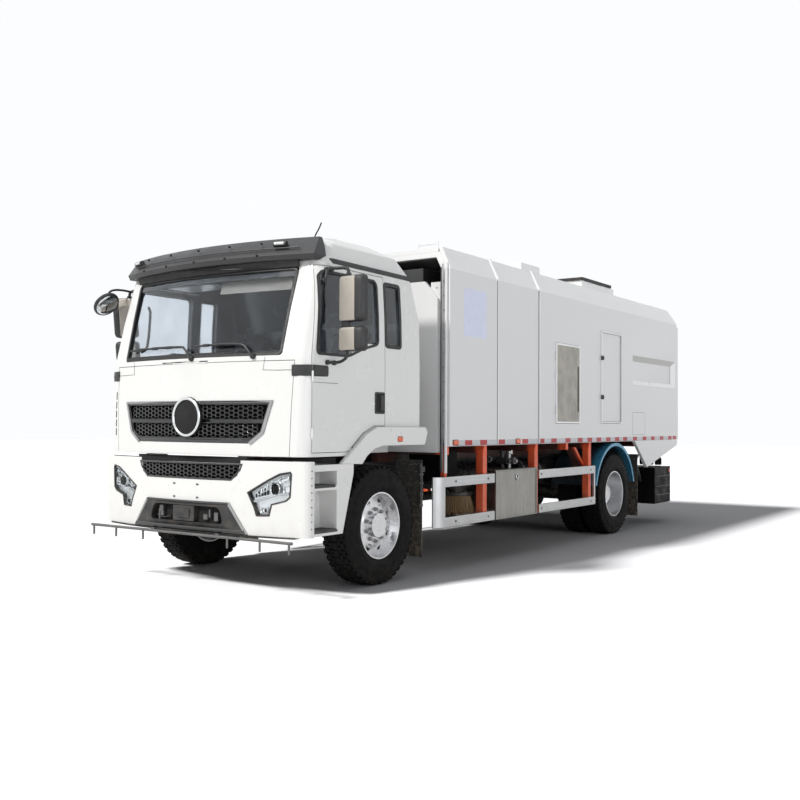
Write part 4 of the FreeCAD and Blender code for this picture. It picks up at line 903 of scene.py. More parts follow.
def cab_front(x, z):
    """The y of the cab's face, which bows forward and leans back above the belt."""
    back = LEAN[-1][1]
    for (low, a), (high, b) in zip(LEAN, LEAN[1:]):
        if z <= high:
            back = a + (b - a) * max(0.0, (z - low) / (high - low))
            break
    return cab_face(x) + back


def screen_place(u, v, depth=0.0):
    """Places on the leaning face; depth counts outwards."""
    return Vector((u, cab_front(u, v) - depth, v))


SCREEN = [(-0.900, 1.915), (0.900, 1.915), (0.930, 1.945), (0.948, 2.610), (0.918, 2.640), (-0.918, 2.640),
    (-0.948, 2.610), (-0.930, 1.945)]
UPPER = [(-0.660, 1.215), (0.660, 1.215), (0.777, 1.300), (0.860, 1.555), (-0.860, 1.555), (-0.777, 1.300)]
LAMP = [(0.862, 0.648), (0.885, 0.736), (1.007, 0.768), (1.045, 0.799), (1.056, 0.982), (1.043, 1.003),
    (0.949, 0.987), (0.847, 0.937), (0.654, 0.830), (0.717, 0.711), (0.741, 0.643)]


def hex_band(shape, place, low, high, reach, rows, width, wall, back, front):
    """A band of wide six-sided cells; reach gives the band's half width at a height."""
    tall = (high - low) / (rows + 0.5)
    columns = int(reach((low + high) / 2) / (0.75 * width)) + 2
    for column in range(-columns, columns + 1):
        x = column * 0.75 * width
        for row in range(rows):
            z = low + tall * (row + 0.5 + (0.5 if column % 2 else 0.0))
            if abs(x) + width * 0.30 > reach(z):
                continue
            cell = [(x + width / 2, z), (x + width / 4, z + tall / 2), (x - width / 4, z + tall / 2),
                (x - width / 2, z), (x - width / 4, z - tall / 2), (x + width / 4, z - tall / 2)]
            shape.hoop(cell, place, wall, back, front, wall * 0.35)


def mirrored(outline):
    """A front outline on the other side, still anticlockwise."""
    return [(-x, z) for x, z in reversed(outline)]


class SWEEPER_OT_upper_grille(bpy.types.Operator):
    """Makes the upper grille: frame, two bands of cells, bar and plain ring"""
    bl_idname = "sweeper.upper_grille"
    bl_label = "Upper grille"

    def execute(self, context):
        grille = Shape("grille_gloss")
        place = frontal(cab_face)
        # painted shadow: a black plate behind the cells for the shade inside the grille
        grille.use("dark_gap").plate(dense(inset(UPPER, 0.006), 0.08), place, -0.075, -0.050)
        grille.use("grille_gloss").hoop(dense(UPPER, 0.08), place, 0.030, -0.050, 0.003, 0.004)
        reach = lambda z: 0.735 + (z - 1.28) * 0.30
        for low, high in ((1.262, 1.378), (1.408, 1.530)):
            hex_band(grille, place, low, high, reach, 3, 0.062, 0.0060, -0.030, -0.006)
        for z, high, width in ((1.393, 0.004, 0.018), (1.246, -0.004, 0.016), (1.540, 0.002, 0.014)):
            wide = reach(z) + 0.03
            bar = dense(rectangle(-wide, wide, z - width, z + width), 0.08)
            grille.plate(bar, place, -0.030, high, 0.005)
        grille.use("satin")
        top = strip(0.864, 0.868, 1.540, 1.561)
        grille.plate(top, place, -0.020, 0.010, 0.004)
        for sign in (1, -1):
            side = [(0.846, 1.545), (0.766, 1.306), (0.652, 1.224), (0.664, 1.209), (0.784, 1.296), (0.868, 1.552)]
            side = side[::-1] if sign > 0 else mirrored(side[::-1])
            grille.plate(dense(side, 0.05), place, -0.020, 0.009, 0.003)
        grille.use("dark_gap").lathe([(0.02, 0.158), (-0.010, 0.158), (-0.016, 0.140), (-0.012, 0.001)],
            (0, cab_face(0) - 0.004, 1.426), "Y", 48)
        grille.use("chrome").lathe(circle(-0.020, 0.152, 0.0125, 14), (0, cab_face(0) - 0.002, 1.426), "Y", 72,
            closed=True)
        grille.piece("cell_grille_upper", "front_flap", "black_plastic", ("upper_grille",))
        return {"FINISHED"}


class SWEEPER_OT_lower_grille(bpy.types.Operator):
    """Makes the bumper's grille, its dark insert with the recessed parts, and the thin lip"""
    bl_idname = "sweeper.lower_grille"
    bl_label = "Lower grille and insert"

    def execute(self, context):
        lower = Shape("grille_gloss")
        place = frontal(bumper_face)
        outline = [(-0.500, 0.915), (0.500, 0.915), (0.590, 1.000), (0.612, 1.055), (-0.612, 1.055), (-0.590, 1.000)]
        # painted shadow: a black plate behind the cells for the shade inside the grille
        lower.use("dark_gap").plate(dense(outline, 0.08), place, -0.070, -0.050)
        lower.use("grille_gloss").hoop(dense(outline, 0.08), place, 0.016, -0.055, 0.004, 0.003)
        reach = lambda z: 0.575 if z > 1.0 else 0.565 - (1.0 - z) * 1.0
        hex_band(lower, place, 0.930, 1.046, reach, 3, 0.060, 0.0065, -0.030, -0.002)
        # painted glints: small chrome flecks behind the cells stand in for the glints on the grille's mesh
        lower.use("chrome")
        for step in range(26):
            x, z = -0.50 + 0.04 * step, 0.955 + 0.028 * ((step * 7) % 4) / 1.3
            if abs(x) < reach(z) - 0.04:
                lower.box((x - 0.006, bumper_face(x) + 0.022, z - 0.003), (x + 0.006, bumper_face(x) + 0.030,
                    z + 0.003))
        lower.use("black_plastic")
        insert = trapezoid(0.664, 0.477, 0.492, 0.739)
        hole = softened(trapezoid(0.430, 0.385, 0.562, 0.700), 0.045, 5)
        outer = []
        for x, z in hole:
            half, edge = (0.664, 0.492) if z < 0.631 else (0.477, 0.739)
            outer.append((math.copysign(half, x) if abs(x) > 0.36 else x * 1.2, edge))
        depths = ((outer, -0.060), (outer, 0.012), (hole, 0.012), (hole, -0.050))
        lower.rings([[place(x, z, depth) for x, z in ring] for ring, depth in depths], capped=False)
        # painted shadow: a black plate behind the insert's opening
        lower.use("dark_gap").plate(dense(inset(insert, 0.02), 0.10), place, -0.105, -0.050)
        lower.use("satin")
        # painted highlight: satin strips along the insert's slanted edges, for the light they catch
        shine = dense([(0.640, 0.500), (0.668, 0.496), (0.484, 0.742), (0.466, 0.730)], 0.06)
        for edge in (shine, mirrored(shine)):
            lower.plate(edge, place, -0.020, 0.016, 0.003)
        lower.use("grille_gloss").plate(strip(0.49, 0.476, 0.722, 0.741), place, 0.0, 0.018, 0.004)
        lower.plate(strip(0.655, 0.640, 0.500, 0.530), place, 0.0, 0.020, 0.006)
        lower.use("black_plastic")
        lower.plate(rounded(-0.155, 0.095, 0.566, 0.698, 0.012, 3), place, -0.060, -0.006, 0.004)
        lower.use("frame_paint").plate(rounded(-0.100, 0.045, 0.590, 0.672, 0.008, 3), place, -0.010, 0.001, 0.003)
        lower.use("bar_steel")
        for x, z, wide, tall in ((-0.325, 0.655, 0.024, 0.030), (-0.315, 0.610, 0.018, 0.020),
                (-0.350, 0.600, 0.010, 0.050), (0.210, 0.610, 0.022, 0.024), (0.255, 0.640, 0.008, 0.034),
                (0.325, 0.615, 0.020, 0.036)):
            lower.plate(rectangle(x - wide, x + wide, z - tall, z + tall), place, -0.052, -0.020, 0.004)
        lower.use("hose_rubber").tube([place(-0.40, 0.60, -0.035), place(-0.30, 0.58, -0.03),
            place(-0.20, 0.60, -0.03)], 0.008)
        lower.piece("cell_grille_lower", "chassis", "black_plastic", ("bumper_grille",))
        return {"FINISHED"}


class SWEEPER_OT_headlamps(bpy.types.Operator):
    """Makes both headlamps: dark bezel, bright bowls, projector, strips and clear lens"""
    bl_idname = "sweeper.headlamps"
    bl_label = "Headlamps"

    def execute(self, context):
        lamps = Shape("lamp_lens")
        place = frontal(bumper_face)
        for sign in (1, -1):
            def at(outline):
                return outline if sign > 0 else mirrored(outline)

            def spot(x, z, depth):
                return place(sign * x, z, depth)

            lamps.use("black_plastic").hoop(dense(at(LAMP), 0.05), place, 0.012, -0.040, 0.006, 0.003)
            lamps.use("reflector").plate(dense(at(inset(LAMP, 0.010)), 0.05), place, -0.058, -0.038)
            lamps.use("chrome")
            for x, z, wide, tall, turn in ((0.800, 0.862, 0.030, 0.028, 0.5), (0.760, 0.835, 0.020, 0.020, 0.5),
                    (0.975, 0.935, 0.042, 0.020, 0.3), (1.000, 0.860, 0.030, 0.030, 0.1),
                    (0.840, 0.900, 0.030, 0.014, 0.5), (0.800, 0.690, 0.032, 0.022, 0.1)):
                corner = [(x - wide, z - tall - wide * turn), (x + wide, z - tall + wide * turn),
                    (x + wide, z + tall + wide * turn), (x - wide, z + tall - wide * turn)]
                lamps.hoop(softened(at(corner), 0.008, 2), place, 0.006, -0.040, -0.014, 0.002)
                lamps.plate(inset(softened(at(corner), 0.008, 2), 0.007), place, -0.040, -0.030, 0.003)
            lamps.use("marker_lens")
            band = [(0.700, 0.765), (0.716, 0.752), (0.880, 0.800), (1.020, 0.822), (1.022, 0.838), (0.876, 0.818)]
            lamps.plate(dense(at(band), 0.05), place, -0.038, -0.010, 0.003)
            band = [(0.690, 0.834), (0.706, 0.826), (0.852, 0.912), (0.948, 0.958), (1.030, 0.972), (1.028, 0.986),
                (0.944, 0.972), (0.846, 0.926)]
            lamps.plate(dense(at(band), 0.05), place, -0.038, -0.012, 0.003)
            centre = spot(0.900, 0.862, -0.030)
            lamps.use("chrome").lathe([(0.0, 0.052), (-0.016, 0.050), (-0.020, 0.046), (-0.014, 0.042), (0.0, 0.038)],
                centre, "Y", 36)
            lamps.use("dark_gap").lathe([(-0.004, 0.040), (-0.010, 0.036), (-0.016, 0.024), (-0.019, 0.001)], centre,
                "Y", 32)
            small = spot(0.815, 0.690, -0.030)
            lamps.use("dark_gap").lathe([(-0.004, 0.018), (-0.012, 0.014), (-0.014, 0.001)], small, "Y", 24)
            lamps.use("black_plastic")
            for step in range(5):
                x = 0.720 + step * 0.026
                lamps.plate(at(rectangle(x, x + 0.004, 0.790 + step * 0.006, 0.820 + step * 0.016)), place, -0.038,
                    -0.020)
            lamps.use("lamp_lens").plate(dense(at(inset(LAMP, 0.010)), 0.05), place, -0.003, 0.002, 0.002)
        lamps.piece("clear_headlamps", "chassis", "lamp_lens", ("headlamps",))
        return {"FINISHED"}


class SWEEPER_OT_bumper(bpy.types.Operator):
    """Makes the bumper with soft edges, its lip, plate holes, side fasteners and seams"""
    bl_idname = "sweeper.bumper"
    bl_label = "Bumper"

    def execute(self, context):
        dressed("bumper", "chassis", "cab_plastic_white", 0.022, sharp=25)
        trim = Shape("black_plastic")
        place = frontal(bumper_face)
        lip = strip(1.080, 1.085, 0.478, 0.492)
        trim.plate(lip, place, -0.060, 0.012, 0.003)
        trim.use("dark_gap")
        for x in (-0.136, 0.136):
            for z in (0.874, 0.766):
                trim.lathe([(0.004, 0.0095), (-0.0015, 0.0095), (-0.0015, 0.006), (0.003, 0.005)],
                    (x, bumper_face(x), z), "Y", 16)
                trim.box((x + 0.008, bumper_face(x) - 0.001, z - 0.004), (x + 0.020, bumper_face(x) + 0.004,
                    z + 0.004))
        # painted shadow: a black strip in the gap above the bumper
        trim.plate(strip(0.630, 0.645, 1.056, 1.107), place, -0.020, -0.006, 0.002)
        for sign in (1, -1):
            for step in range(9):
                z = 0.560 + step * 0.056
                trim.lathe([(0.0, 0.0055), (sign * 0.002, 0.005), (sign * 0.003, 0.002)],
                    (sign * 1.198, aft(-0.990), z), "X", 12)
            trim.use("dark_gap")
            trim.tube([Vector((sign * x, bumper_face(x) + 0.004, 1.083)) for x in (0.64, 0.80, 0.95, 1.06)], 0.004, 6)
        trim.piece("bumper_trim", "chassis", "black_plastic")
        return {"FINISHED"}


WIPERS = ((0.020, -0.850, -0.090), (0.670, 0.050, 0.560))  # pivot, and both ends of the blade
WIPER_Z = 1.912
CORNER_SLOTS = ((1.262, 1.325), (1.342, 1.405), (1.422, 1.485), (1.502, 1.565), (1.582, 1.650))


class SWEEPER_OT_windscreen(bpy.types.Operator):
    """Makes the windscreen's black border, the brow band, both wipers and the corner slots"""
    bl_idname = "sweeper.windscreen"
    bl_label = "Windscreen trim"

    def execute(self, context):
        seal = Shape("seal_rubber")
        outline = dense(softened(SCREEN, [0.05, 0.05, 0.01, 0.06, 0.05, 0.05, 0.06, 0.01], 5), 0.06)
        seal.hoop(outline, screen_place, 0.026, -0.030, 0.0035, 0.003)
        low = strip(0.900, 0.905, 1.922, 1.956, 0.07)
        seal.plate(low, screen_place, -0.020, -0.005, 0.002)
        seal.use("dash_plastic").plate(strip(0.925, 0.928, 2.560, 2.632, 0.07), screen_place, -0.030, -0.014, 0.002)
        seal.use("dark_gap")
        for low, high in CORNER_SLOTS:
            seal.plate(rectangle(-1.068, -1.056, low, high), screen_place, -0.008, 0.003, 0.001)
        seal.piece("windscreen_trim", "cab", "cab_plastic_white")
        wipers = Shape("black_plastic")
        for pivot, start, stop in WIPERS:
            wipers.lathe([(0.010, 0.024), (-0.022, 0.022), (-0.030, 0.014), (-0.031, 0.001)],
                screen_place(pivot, WIPER_Z, 0.0), "Y", 20)
            arm = [(pivot, WIPER_Z, 0.028), (pivot - 0.030, 1.955, 0.036), (pivot - 0.080, 1.998, 0.036),
                (pivot - 0.150, 2.014, 0.034), ((start + stop) / 2, 2.020, 0.030)]
            wipers.tube([screen_place(*spot) for spot in arm], 0.0095, 8)
            blade = [screen_place(start + (stop - start) * t, 2.012 + 0.006 * math.sin(math.pi * t), 0.016)
                for t in (0, 0.2, 0.4, 0.6, 0.8, 1)]
            wipers.tube(blade, 0.0085, 8)
            rubber = [point + Vector((0, 0.010, -0.004)) for point in blade]
            wipers.use("seal_rubber").tube(rubber, 0.0045, 6).use("black_plastic")
            for t in (0.25, 0.5, 0.75):
                spot = screen_place(start + (stop - start) * t, 2.016, 0.020)
                wipers.rod(spot - Vector((0.03, 0, 0)), spot + Vector((0.03, 0, 0)), 0.013, 10)
        wipers.piece("wipers", "cab", "black_plastic")
        return {"FINISHED"}


VISOR_BOW, VISOR_SLOPE = 3.4, 0.52


class SWEEPER_OT_visor(bpy.types.Operator):
    """Makes the sun visor with its lamps, crease, screws and the aerial above it"""
    bl_idname = "sweeper.visor"
    bl_label = "Sun visor"

    def execute(self, context):
        dressed("sun_visor", "cab", "visor_plastic", 0.010)
        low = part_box("sun_visor")[0]
        front = bowed(-low.y + AXLE, VISOR_BOW)

        def on_visor(x, z, depth=0.0):
            back = max(0.0, (z - low.z - 0.04)) * VISOR_SLOPE
            return Vector((x, front(x) + back - depth, z))

        extra = Shape("visor_plastic")
        crease = [on_visor(x, low.z + 0.098, 0.004) for x in (-0.98, -0.7, -0.35, 0, 0.35, 0.7, 0.98)]
        extra.tube(crease, 0.0055, 8)
        for x in (-0.94, 0.80):
            z = low.z + 0.135
            extra.use("black_plastic").rod(on_visor(x - 0.055, z, 0.004), on_visor(x + 0.055, z, 0.004), 0.024, 12)
            extra.use("marker_lens").rod(on_visor(x - 0.042, z + 0.002, 0.016), on_visor(x + 0.042, z + 0.002, 0.016),
                0.0155, 12)
        extra.use("dark_gap")
        for x in (-0.78, -0.42, -0.05, 0.30, 0.62):
            for z in (low.z + 0.045, low.z + 0.150):
                spot = on_visor(x, z, 0.0)
                extra.lathe([(0.006, 0.009), (-0.006, 0.009), (-0.009, 0.005), (-0.009, 0.001)], spot, "Y", 12)
        extra.use("black_plastic").tube([(0.93, aft(-0.66), 2.862), (0.97, aft(-0.70), 2.905),
            (1.05, aft(-0.745), 2.955), (1.10, aft(-0.78), 2.985)], 0.006, 8)
        extra.rod((0.92, aft(-0.655), 2.845), (0.935, aft(-0.664), 2.868), 0.014, 12)
        extra.piece("visor_lamps", "cab", "visor_plastic")
        return {"FINISHED"}


class SWEEPER_OT_flap(bpy.types.Operator):
    """Makes the front flap with soft edges and the thin seams round it"""
    bl_idname = "sweeper.flap"
    bl_label = "Front flap"

    def execute(self, context):
        dressed("front_flap", "front_flap", "cab_white", 0.003)
        seams = Shape("seal_rubber")
        for sign in (1, -1):
            path = ((0.780, 1.905), (0.765, 1.800), (0.900, 1.796), (1.040, 1.796))
            seams.tube([screen_place(sign * x, z, 0.0005) for x, z in path], 0.0022, 6, smooth=False)
        seams.use("dark_gap").plate(dense([(-0.350, 1.880), (0.200, 1.880), (0.205, 1.889), (-0.355, 1.889)], 0.07),
            screen_place, -0.01, 0.0008)
        seams.piece("flap_seams", "cab", "cab_plastic_white")
        return {"FINISHED"}


# ---- sides of the cab ----

CAB_X = 1.170
CORNER_Y, CORNER_RADIUS = -0.926, 0.110
# height, how far back, and how far in
SIDE_LEAN = tuple((*row, inwards) for row, inwards in zip(LEAN, (0.0, 0.0, 0.010, 0.035)))


def side_x(y, z):
    """How far out the cab's side lies at a place behind the front axle and a height."""
    x, lean = CAB_X, 0.0
    for (low, p, a), (high, q, b) in zip(SIDE_LEAN, SIDE_LEAN[1:]):
        if z >= low:
            t = min(1.0, (z - low) / (high - low))
            x, lean = CAB_X - (a + (b - a) * t), p + (q - p) * t
    turn = CORNER_Y + lean - y
    round_off = CORNER_RADIUS - math.sqrt(CORNER_RADIUS ** 2 - min(turn, 0.109) ** 2) if turn > 0 else 0.0
    return x - round_off


def cab_side(sign):
    """Places (distance behind the front axle, height, depth) on the cab's side."""
    return lambda u, v, depth=0.0: Vector((sign * (side_x(u, v) + depth), aft(u), v))


class SWEEPER_OT_doors(bpy.types.Operator):
    """Makes both doors with window seals, handles, locks, front corner pieces and glass"""
    bl_idname = "sweeper.doors"
    bl_label = "Doors"

    def execute(self, context):
        for side, sign in SIDES:
            body = "door_" + side
            place = cab_side(sign)
            dressed("cab_door_" + side, body, "cab_white", 0.003)
            trim = Shape("seal_rubber")
            wide = [(-0.918, 1.918), (-0.500, 1.918), (-0.288, 1.995), (-0.072, 2.046), (-0.072, 2.565),
                (-0.108, 2.606), (-0.803, 2.606), (-0.838, 2.560)]
            trim.hoop(dense(softened(wide, [0.05, 0.04, 0.04, 0.05, 0.04, 0.04, 0.015, 0.015], 4), 0.05), place,
                0.022, -0.006, 0.0035)
            trim.use("black_plastic").hoop(rounded(-0.135, 0.006, 1.462, 1.648, 0.018, 4), place, 0.016, -0.002,
                0.006, 0.002)
            trim.use("dark_gap").plate(rounded(-0.122, -0.006, 1.474, 1.636, 0.014, 4), place, -0.001, 0.0015)
            trim.use("black_plastic").plate(rounded(-0.052, -0.012, 1.486, 1.622, 0.012, 4), place, 0.0, 0.0095,
                0.004)
            rear = softened([(-0.948, 1.747), (-0.767, 1.750), (-0.767, 1.836), (-0.948, 1.838)],
                [0.004, 0.02, 0.02, 0.004], 4)
            trim.plate(dense(rear, 0.03), place, -0.004, 0.0100, 0.005)
            trim.use("seal_rubber").tube([place(y, 1.700, 0.0006) for y in (-0.94, -0.80, -0.64)], 0.0018, 6)
            trim.use("chrome").lathe([(0.0, 0.010), (sign * 0.004, 0.009), (sign * 0.005, 0.001)],
                place(-0.150, 1.550), "X", 16)
            trim.piece("door_trim_" + side, body, "black_plastic")
            glass = Shape("cab_glass").copy_of("door_glass_" + side)
            glass.piece("side_window_" + side, body, "cab_glass", ("door_glass_" + side,), 0.002)
        return {"FINISHED"}


MIRROR_X, MIRROR_Y = 1.364, -0.696
MIRROR_HEADS = ((2.185, 2.558), (1.951, 2.150))  # lower and upper edge of the tall and the wide-angle one


class SWEEPER_OT_mirrors(bpy.types.Operator):
    """Makes the tall and the wide-angle mirrors on their arms, and the round kerb mirror on the right"""
    bl_idname = "sweeper.mirrors"
    bl_label = "Mirrors"

    def head(self, shape, sign, low, high, turn, shift):
        """One mirror head: rounded black case, pale front cover over its inner part, and glass behind."""
        def ring(outline, depth):
            points = []
            for u, v in outline:
                away, lean = u - MIRROR_X, (v - 2.255) * shift
                x = MIRROR_X + away * math.cos(turn) + depth * math.sin(turn)
                y = aft(MIRROR_Y) + lean + away * math.sin(turn) - depth * math.cos(turn)
                points.append(Vector((sign * x, y, v)))
            return points

        rows = []
        for depth, shrink in ((-0.036, 0.004), (-0.034, 0.0), (0.000, 0.0), (0.018, 0.006), (0.030, 0.018),
                (0.034, 0.034)):
            rim = rounded(1.244 + shrink, 1.484 - shrink, low + shrink, high - shrink, 0.040, 6)
            rows.append(ring(rim, depth))
        shape.use("black_plastic").rings(rows)
        cover = []
        for depth, shrink in ((0.026, 0.0), (0.036, 0.002), (0.0395, 0.010)):
            rim = rounded(1.250 + shrink, 1.402 - shrink, low + 0.008 + shrink, high - 0.010 - shrink,
                [0.02, 0.008, 0.008, 0.03], 5)
            cover.append(ring(rim, depth))
        shape.use("mirror_face").rings(cover)
        shape.use("mirror_glass")
        rim = rounded(1.258, 1.470, low + 0.014, high - 0.014, 0.030, 5)
        shape.rings([ring(rim, -0.037), ring(inset(rim, 0.002), -0.0385)])

    def execute(self, context):
        for side, sign in SIDES:
            turn, shift = (0.0, 0.0) if sign > 0 else (-0.28, -0.10)
            mirror = Shape("black_plastic")
            for low, high in MIRROR_HEADS:
                self.head(mirror, sign, low, high, turn, shift)
            mirror.use("black_plastic").box(*beside(sign, (1.262, -0.715, 2.135), (1.330, -0.680, 2.200)))
            door = cab_side(sign)
            mirror.tube([door(-0.796, 2.500, 0.012), door(-0.780, 2.560, 0.016), door(-0.765, 2.606, 0.018),
                door(-0.720, 2.622, 0.030), *beside(sign, (1.200, -0.700, 2.624), (1.285, MIRROR_Y, 2.618),
                (1.312, MIRROR_Y, 2.596), (1.318, MIRROR_Y, 2.520))], 0.0135, 12)
            for y, z in ((-0.792, 2.520), (-0.762, 2.608), (-0.705, 2.618)):
                mirror.rod(door(y, z, -0.004), door(y, z, 0.020), 0.021, 16)
            mirror.tube([door(-0.775, 1.862, 0.008), door(-0.735, 1.866, 0.016), door(-0.690, 1.868, 0.040),
                *beside(sign, (1.262, -0.692, 1.882), (1.302, MIRROR_Y, 1.912), (1.310, MIRROR_Y, 1.970))], 0.0125,
                12)
            for y in (-0.785, -0.700):
                mirror.rod(door(y, 1.864, -0.004), door(y, 1.864, 0.018), 0.020, 16)
            mirror.rod(*beside(sign, (1.318, MIRROR_Y, 2.545), (1.318, MIRROR_Y, 2.575)), 0.022, 16)
            if sign < 0:
                centre, axis = Vector((-1.385, aft(-0.910), 2.485)), Vector((-0.74, 0.05, 0.67)).normalized()
                facing = axis.to_track_quat("Z", "Y")

                def bowl(profile):
                    return [[centre + facing @ Vector((radius * 0.94 * math.cos(a), radius * math.sin(a), depth))
                        for a in angles(40)] for depth, radius in profile]

                mirror.rings(bowl(((-0.020, 0.112), (-0.018, 0.122), (-0.006, 0.129), (0.006, 0.128), (0.018, 0.112),
                    (0.028, 0.070), (0.030, 0.010))))
                mirror.use("mirror_glass").rings(bowl(((-0.0195, 0.110), (-0.024, 0.100), (-0.027, 0.060),
                    (-0.028, 0.005))))
                mirror.use("black_plastic").tube(beside(sign, (1.300, -0.700, 2.618), (1.318, -0.78, 2.624),
                    (1.330, -0.86, 2.618), (1.352, -0.905, 2.590)) + [centre + axis * 0.026], 0.0105, 10)
            mirror.piece("mirrors_" + side, "door_" + side, "black_plastic", ("mirror_" + side,))
        return {"FINISHED"}


# out from the face and height, of the black corner pieces beside the flap
CORNER_SECTION = ((-0.004, 1.747), (0.009, 1.749), (0.012, 1.790), (0.009, 1.836), (-0.004, 1.838))
SIDE_LAMP_X = 1.2065


class SWEEPER_OT_cab_shell(bpy.types.Operator):
    """Makes the cab shell with soft edges, gutters, quarter seals, corner pieces and side lamps"""
    bl_idname = "sweeper.cab_shell"
    bl_label = "Cab shell"

    def execute(self, context):
        dressed("cab_shell", "cab", "cab_white", 0.004)
        dressed("cab_arches", "chassis", "cab_plastic_white", 0.010)
        trim = Shape("black_plastic")
        for sign in (1, -1):
            place = cab_side(sign)
            trim.use("seal_rubber").hoop(dense(rounded(0.012, 0.268, 2.030, 2.606, 0.045, 5), 0.06), place, 0.034,
                -0.006, 0.0035, 0.002)
            gutter = []
            for step in range(15):
                t = step / 14
                y, z = -0.745 + 1.185 * t, 2.694 - 0.012 * t
                x = side_x(y, 2.68) - 0.004 if y > -0.66 else side_x(-0.66, 2.68) - 0.004 - (-0.66 - y) * 0.3
                gutter.append((x, y, z))
            rows = [[(sign * (x + out), aft(y), z + up)
                for out, up in ((-0.012, -0.024), (0.010, -0.022), (0.014, 0.0), (0.008, 0.018), (-0.016, 0.020))]
                for x, y, z in gutter]
            trim.use("black_plastic").rings(rows)
            rows = []
            for x in (1.028, 1.040, 1.055, 1.070):
                y = cab_front(x, 1.79)
                rows.append([Vector((sign * x, y - out, z)) for out, z in CORNER_SECTION])
            for y in (-1.000, -0.975, -0.955):
                x = side_x(y, 1.79)
                across, along = (0.75, -0.65) if y < -0.96 else (0.9, -0.4)
                rows.append([Vector((sign * (x + across * out), aft(y) + along * out, z))
                    for out, z in CORNER_SECTION])
            trim.rings(rows)
            lamp = rounded(0.150, 0.232, 1.222, 1.270, 0.012, 4)
            wall = flank(SIDE_LAMP_X, sign)
            trim.use("black_plastic").plate(lamp, wall, -0.004, 0.004)
            trim.use("amber").plate(inset(lamp, 0.004), wall, 0.003, 0.012, 0.005)
        band = strip(0.952, 0.958, 2.632, 2.700, 0.07)
        brow = lambda u, v, d=0.0: screen_place(u, v, d + max(0.0, v - 2.625) * 0.45)
        trim.use("seal_rubber").plate(band, brow, -0.004, 0.0150, 0.004)
        trim.piece("cab_trim", "cab", "black_plastic")
        return {"FINISHED"}


CAB_STEPS = ((0.876, -0.66), (0.520, -0.63))  # height, and where the tread ends behind the front axle


class SWEEPER_OT_steps(bpy.types.Operator):
    """Lays black ribbed treads on the cab steps"""
    bl_idname = "sweeper.steps"
    bl_label = "Cab steps"

    def execute(self, context):
        tread = Shape("black_plastic")
        for sign in (1, -1):
            for z, rear in CAB_STEPS:
                tread.box(*beside(sign, (1.000, -0.955, z), (1.166, rear, z + 0.010)))
                for step in range(7):
                    x = 1.012 + step * 0.024
                    tread.box((sign * x, aft(-0.945), z + 0.010), (sign * (x + 0.012), aft(rear - 0.01), z + 0.016))
                tread.plate(rectangle(-0.955, rear, z - 0.010, z + 0.012), flank(1.163, sign), 0.0, 0.008, 0.003)
        tread.piece("step_treads", "chassis", "black_plastic")
        return {"FINISHED"}


# ---- sweeping body ----

BODY_X = 1.250
TAPE_LOW, TAPE_HIGH = 1.178, 1.226
SIDE_LAMPS_Y = (1.045, 2.294)
# middles of the red strips, behind the front axle
RED_TAPE_Y = (1.289, 1.577, 1.945, 2.460, 2.846, 3.152, 3.517, 3.853, 4.131, 4.400, 4.694, 4.978, 5.246, 5.586, 5.935,
              6.249, 6.596, 6.933, 7.130)


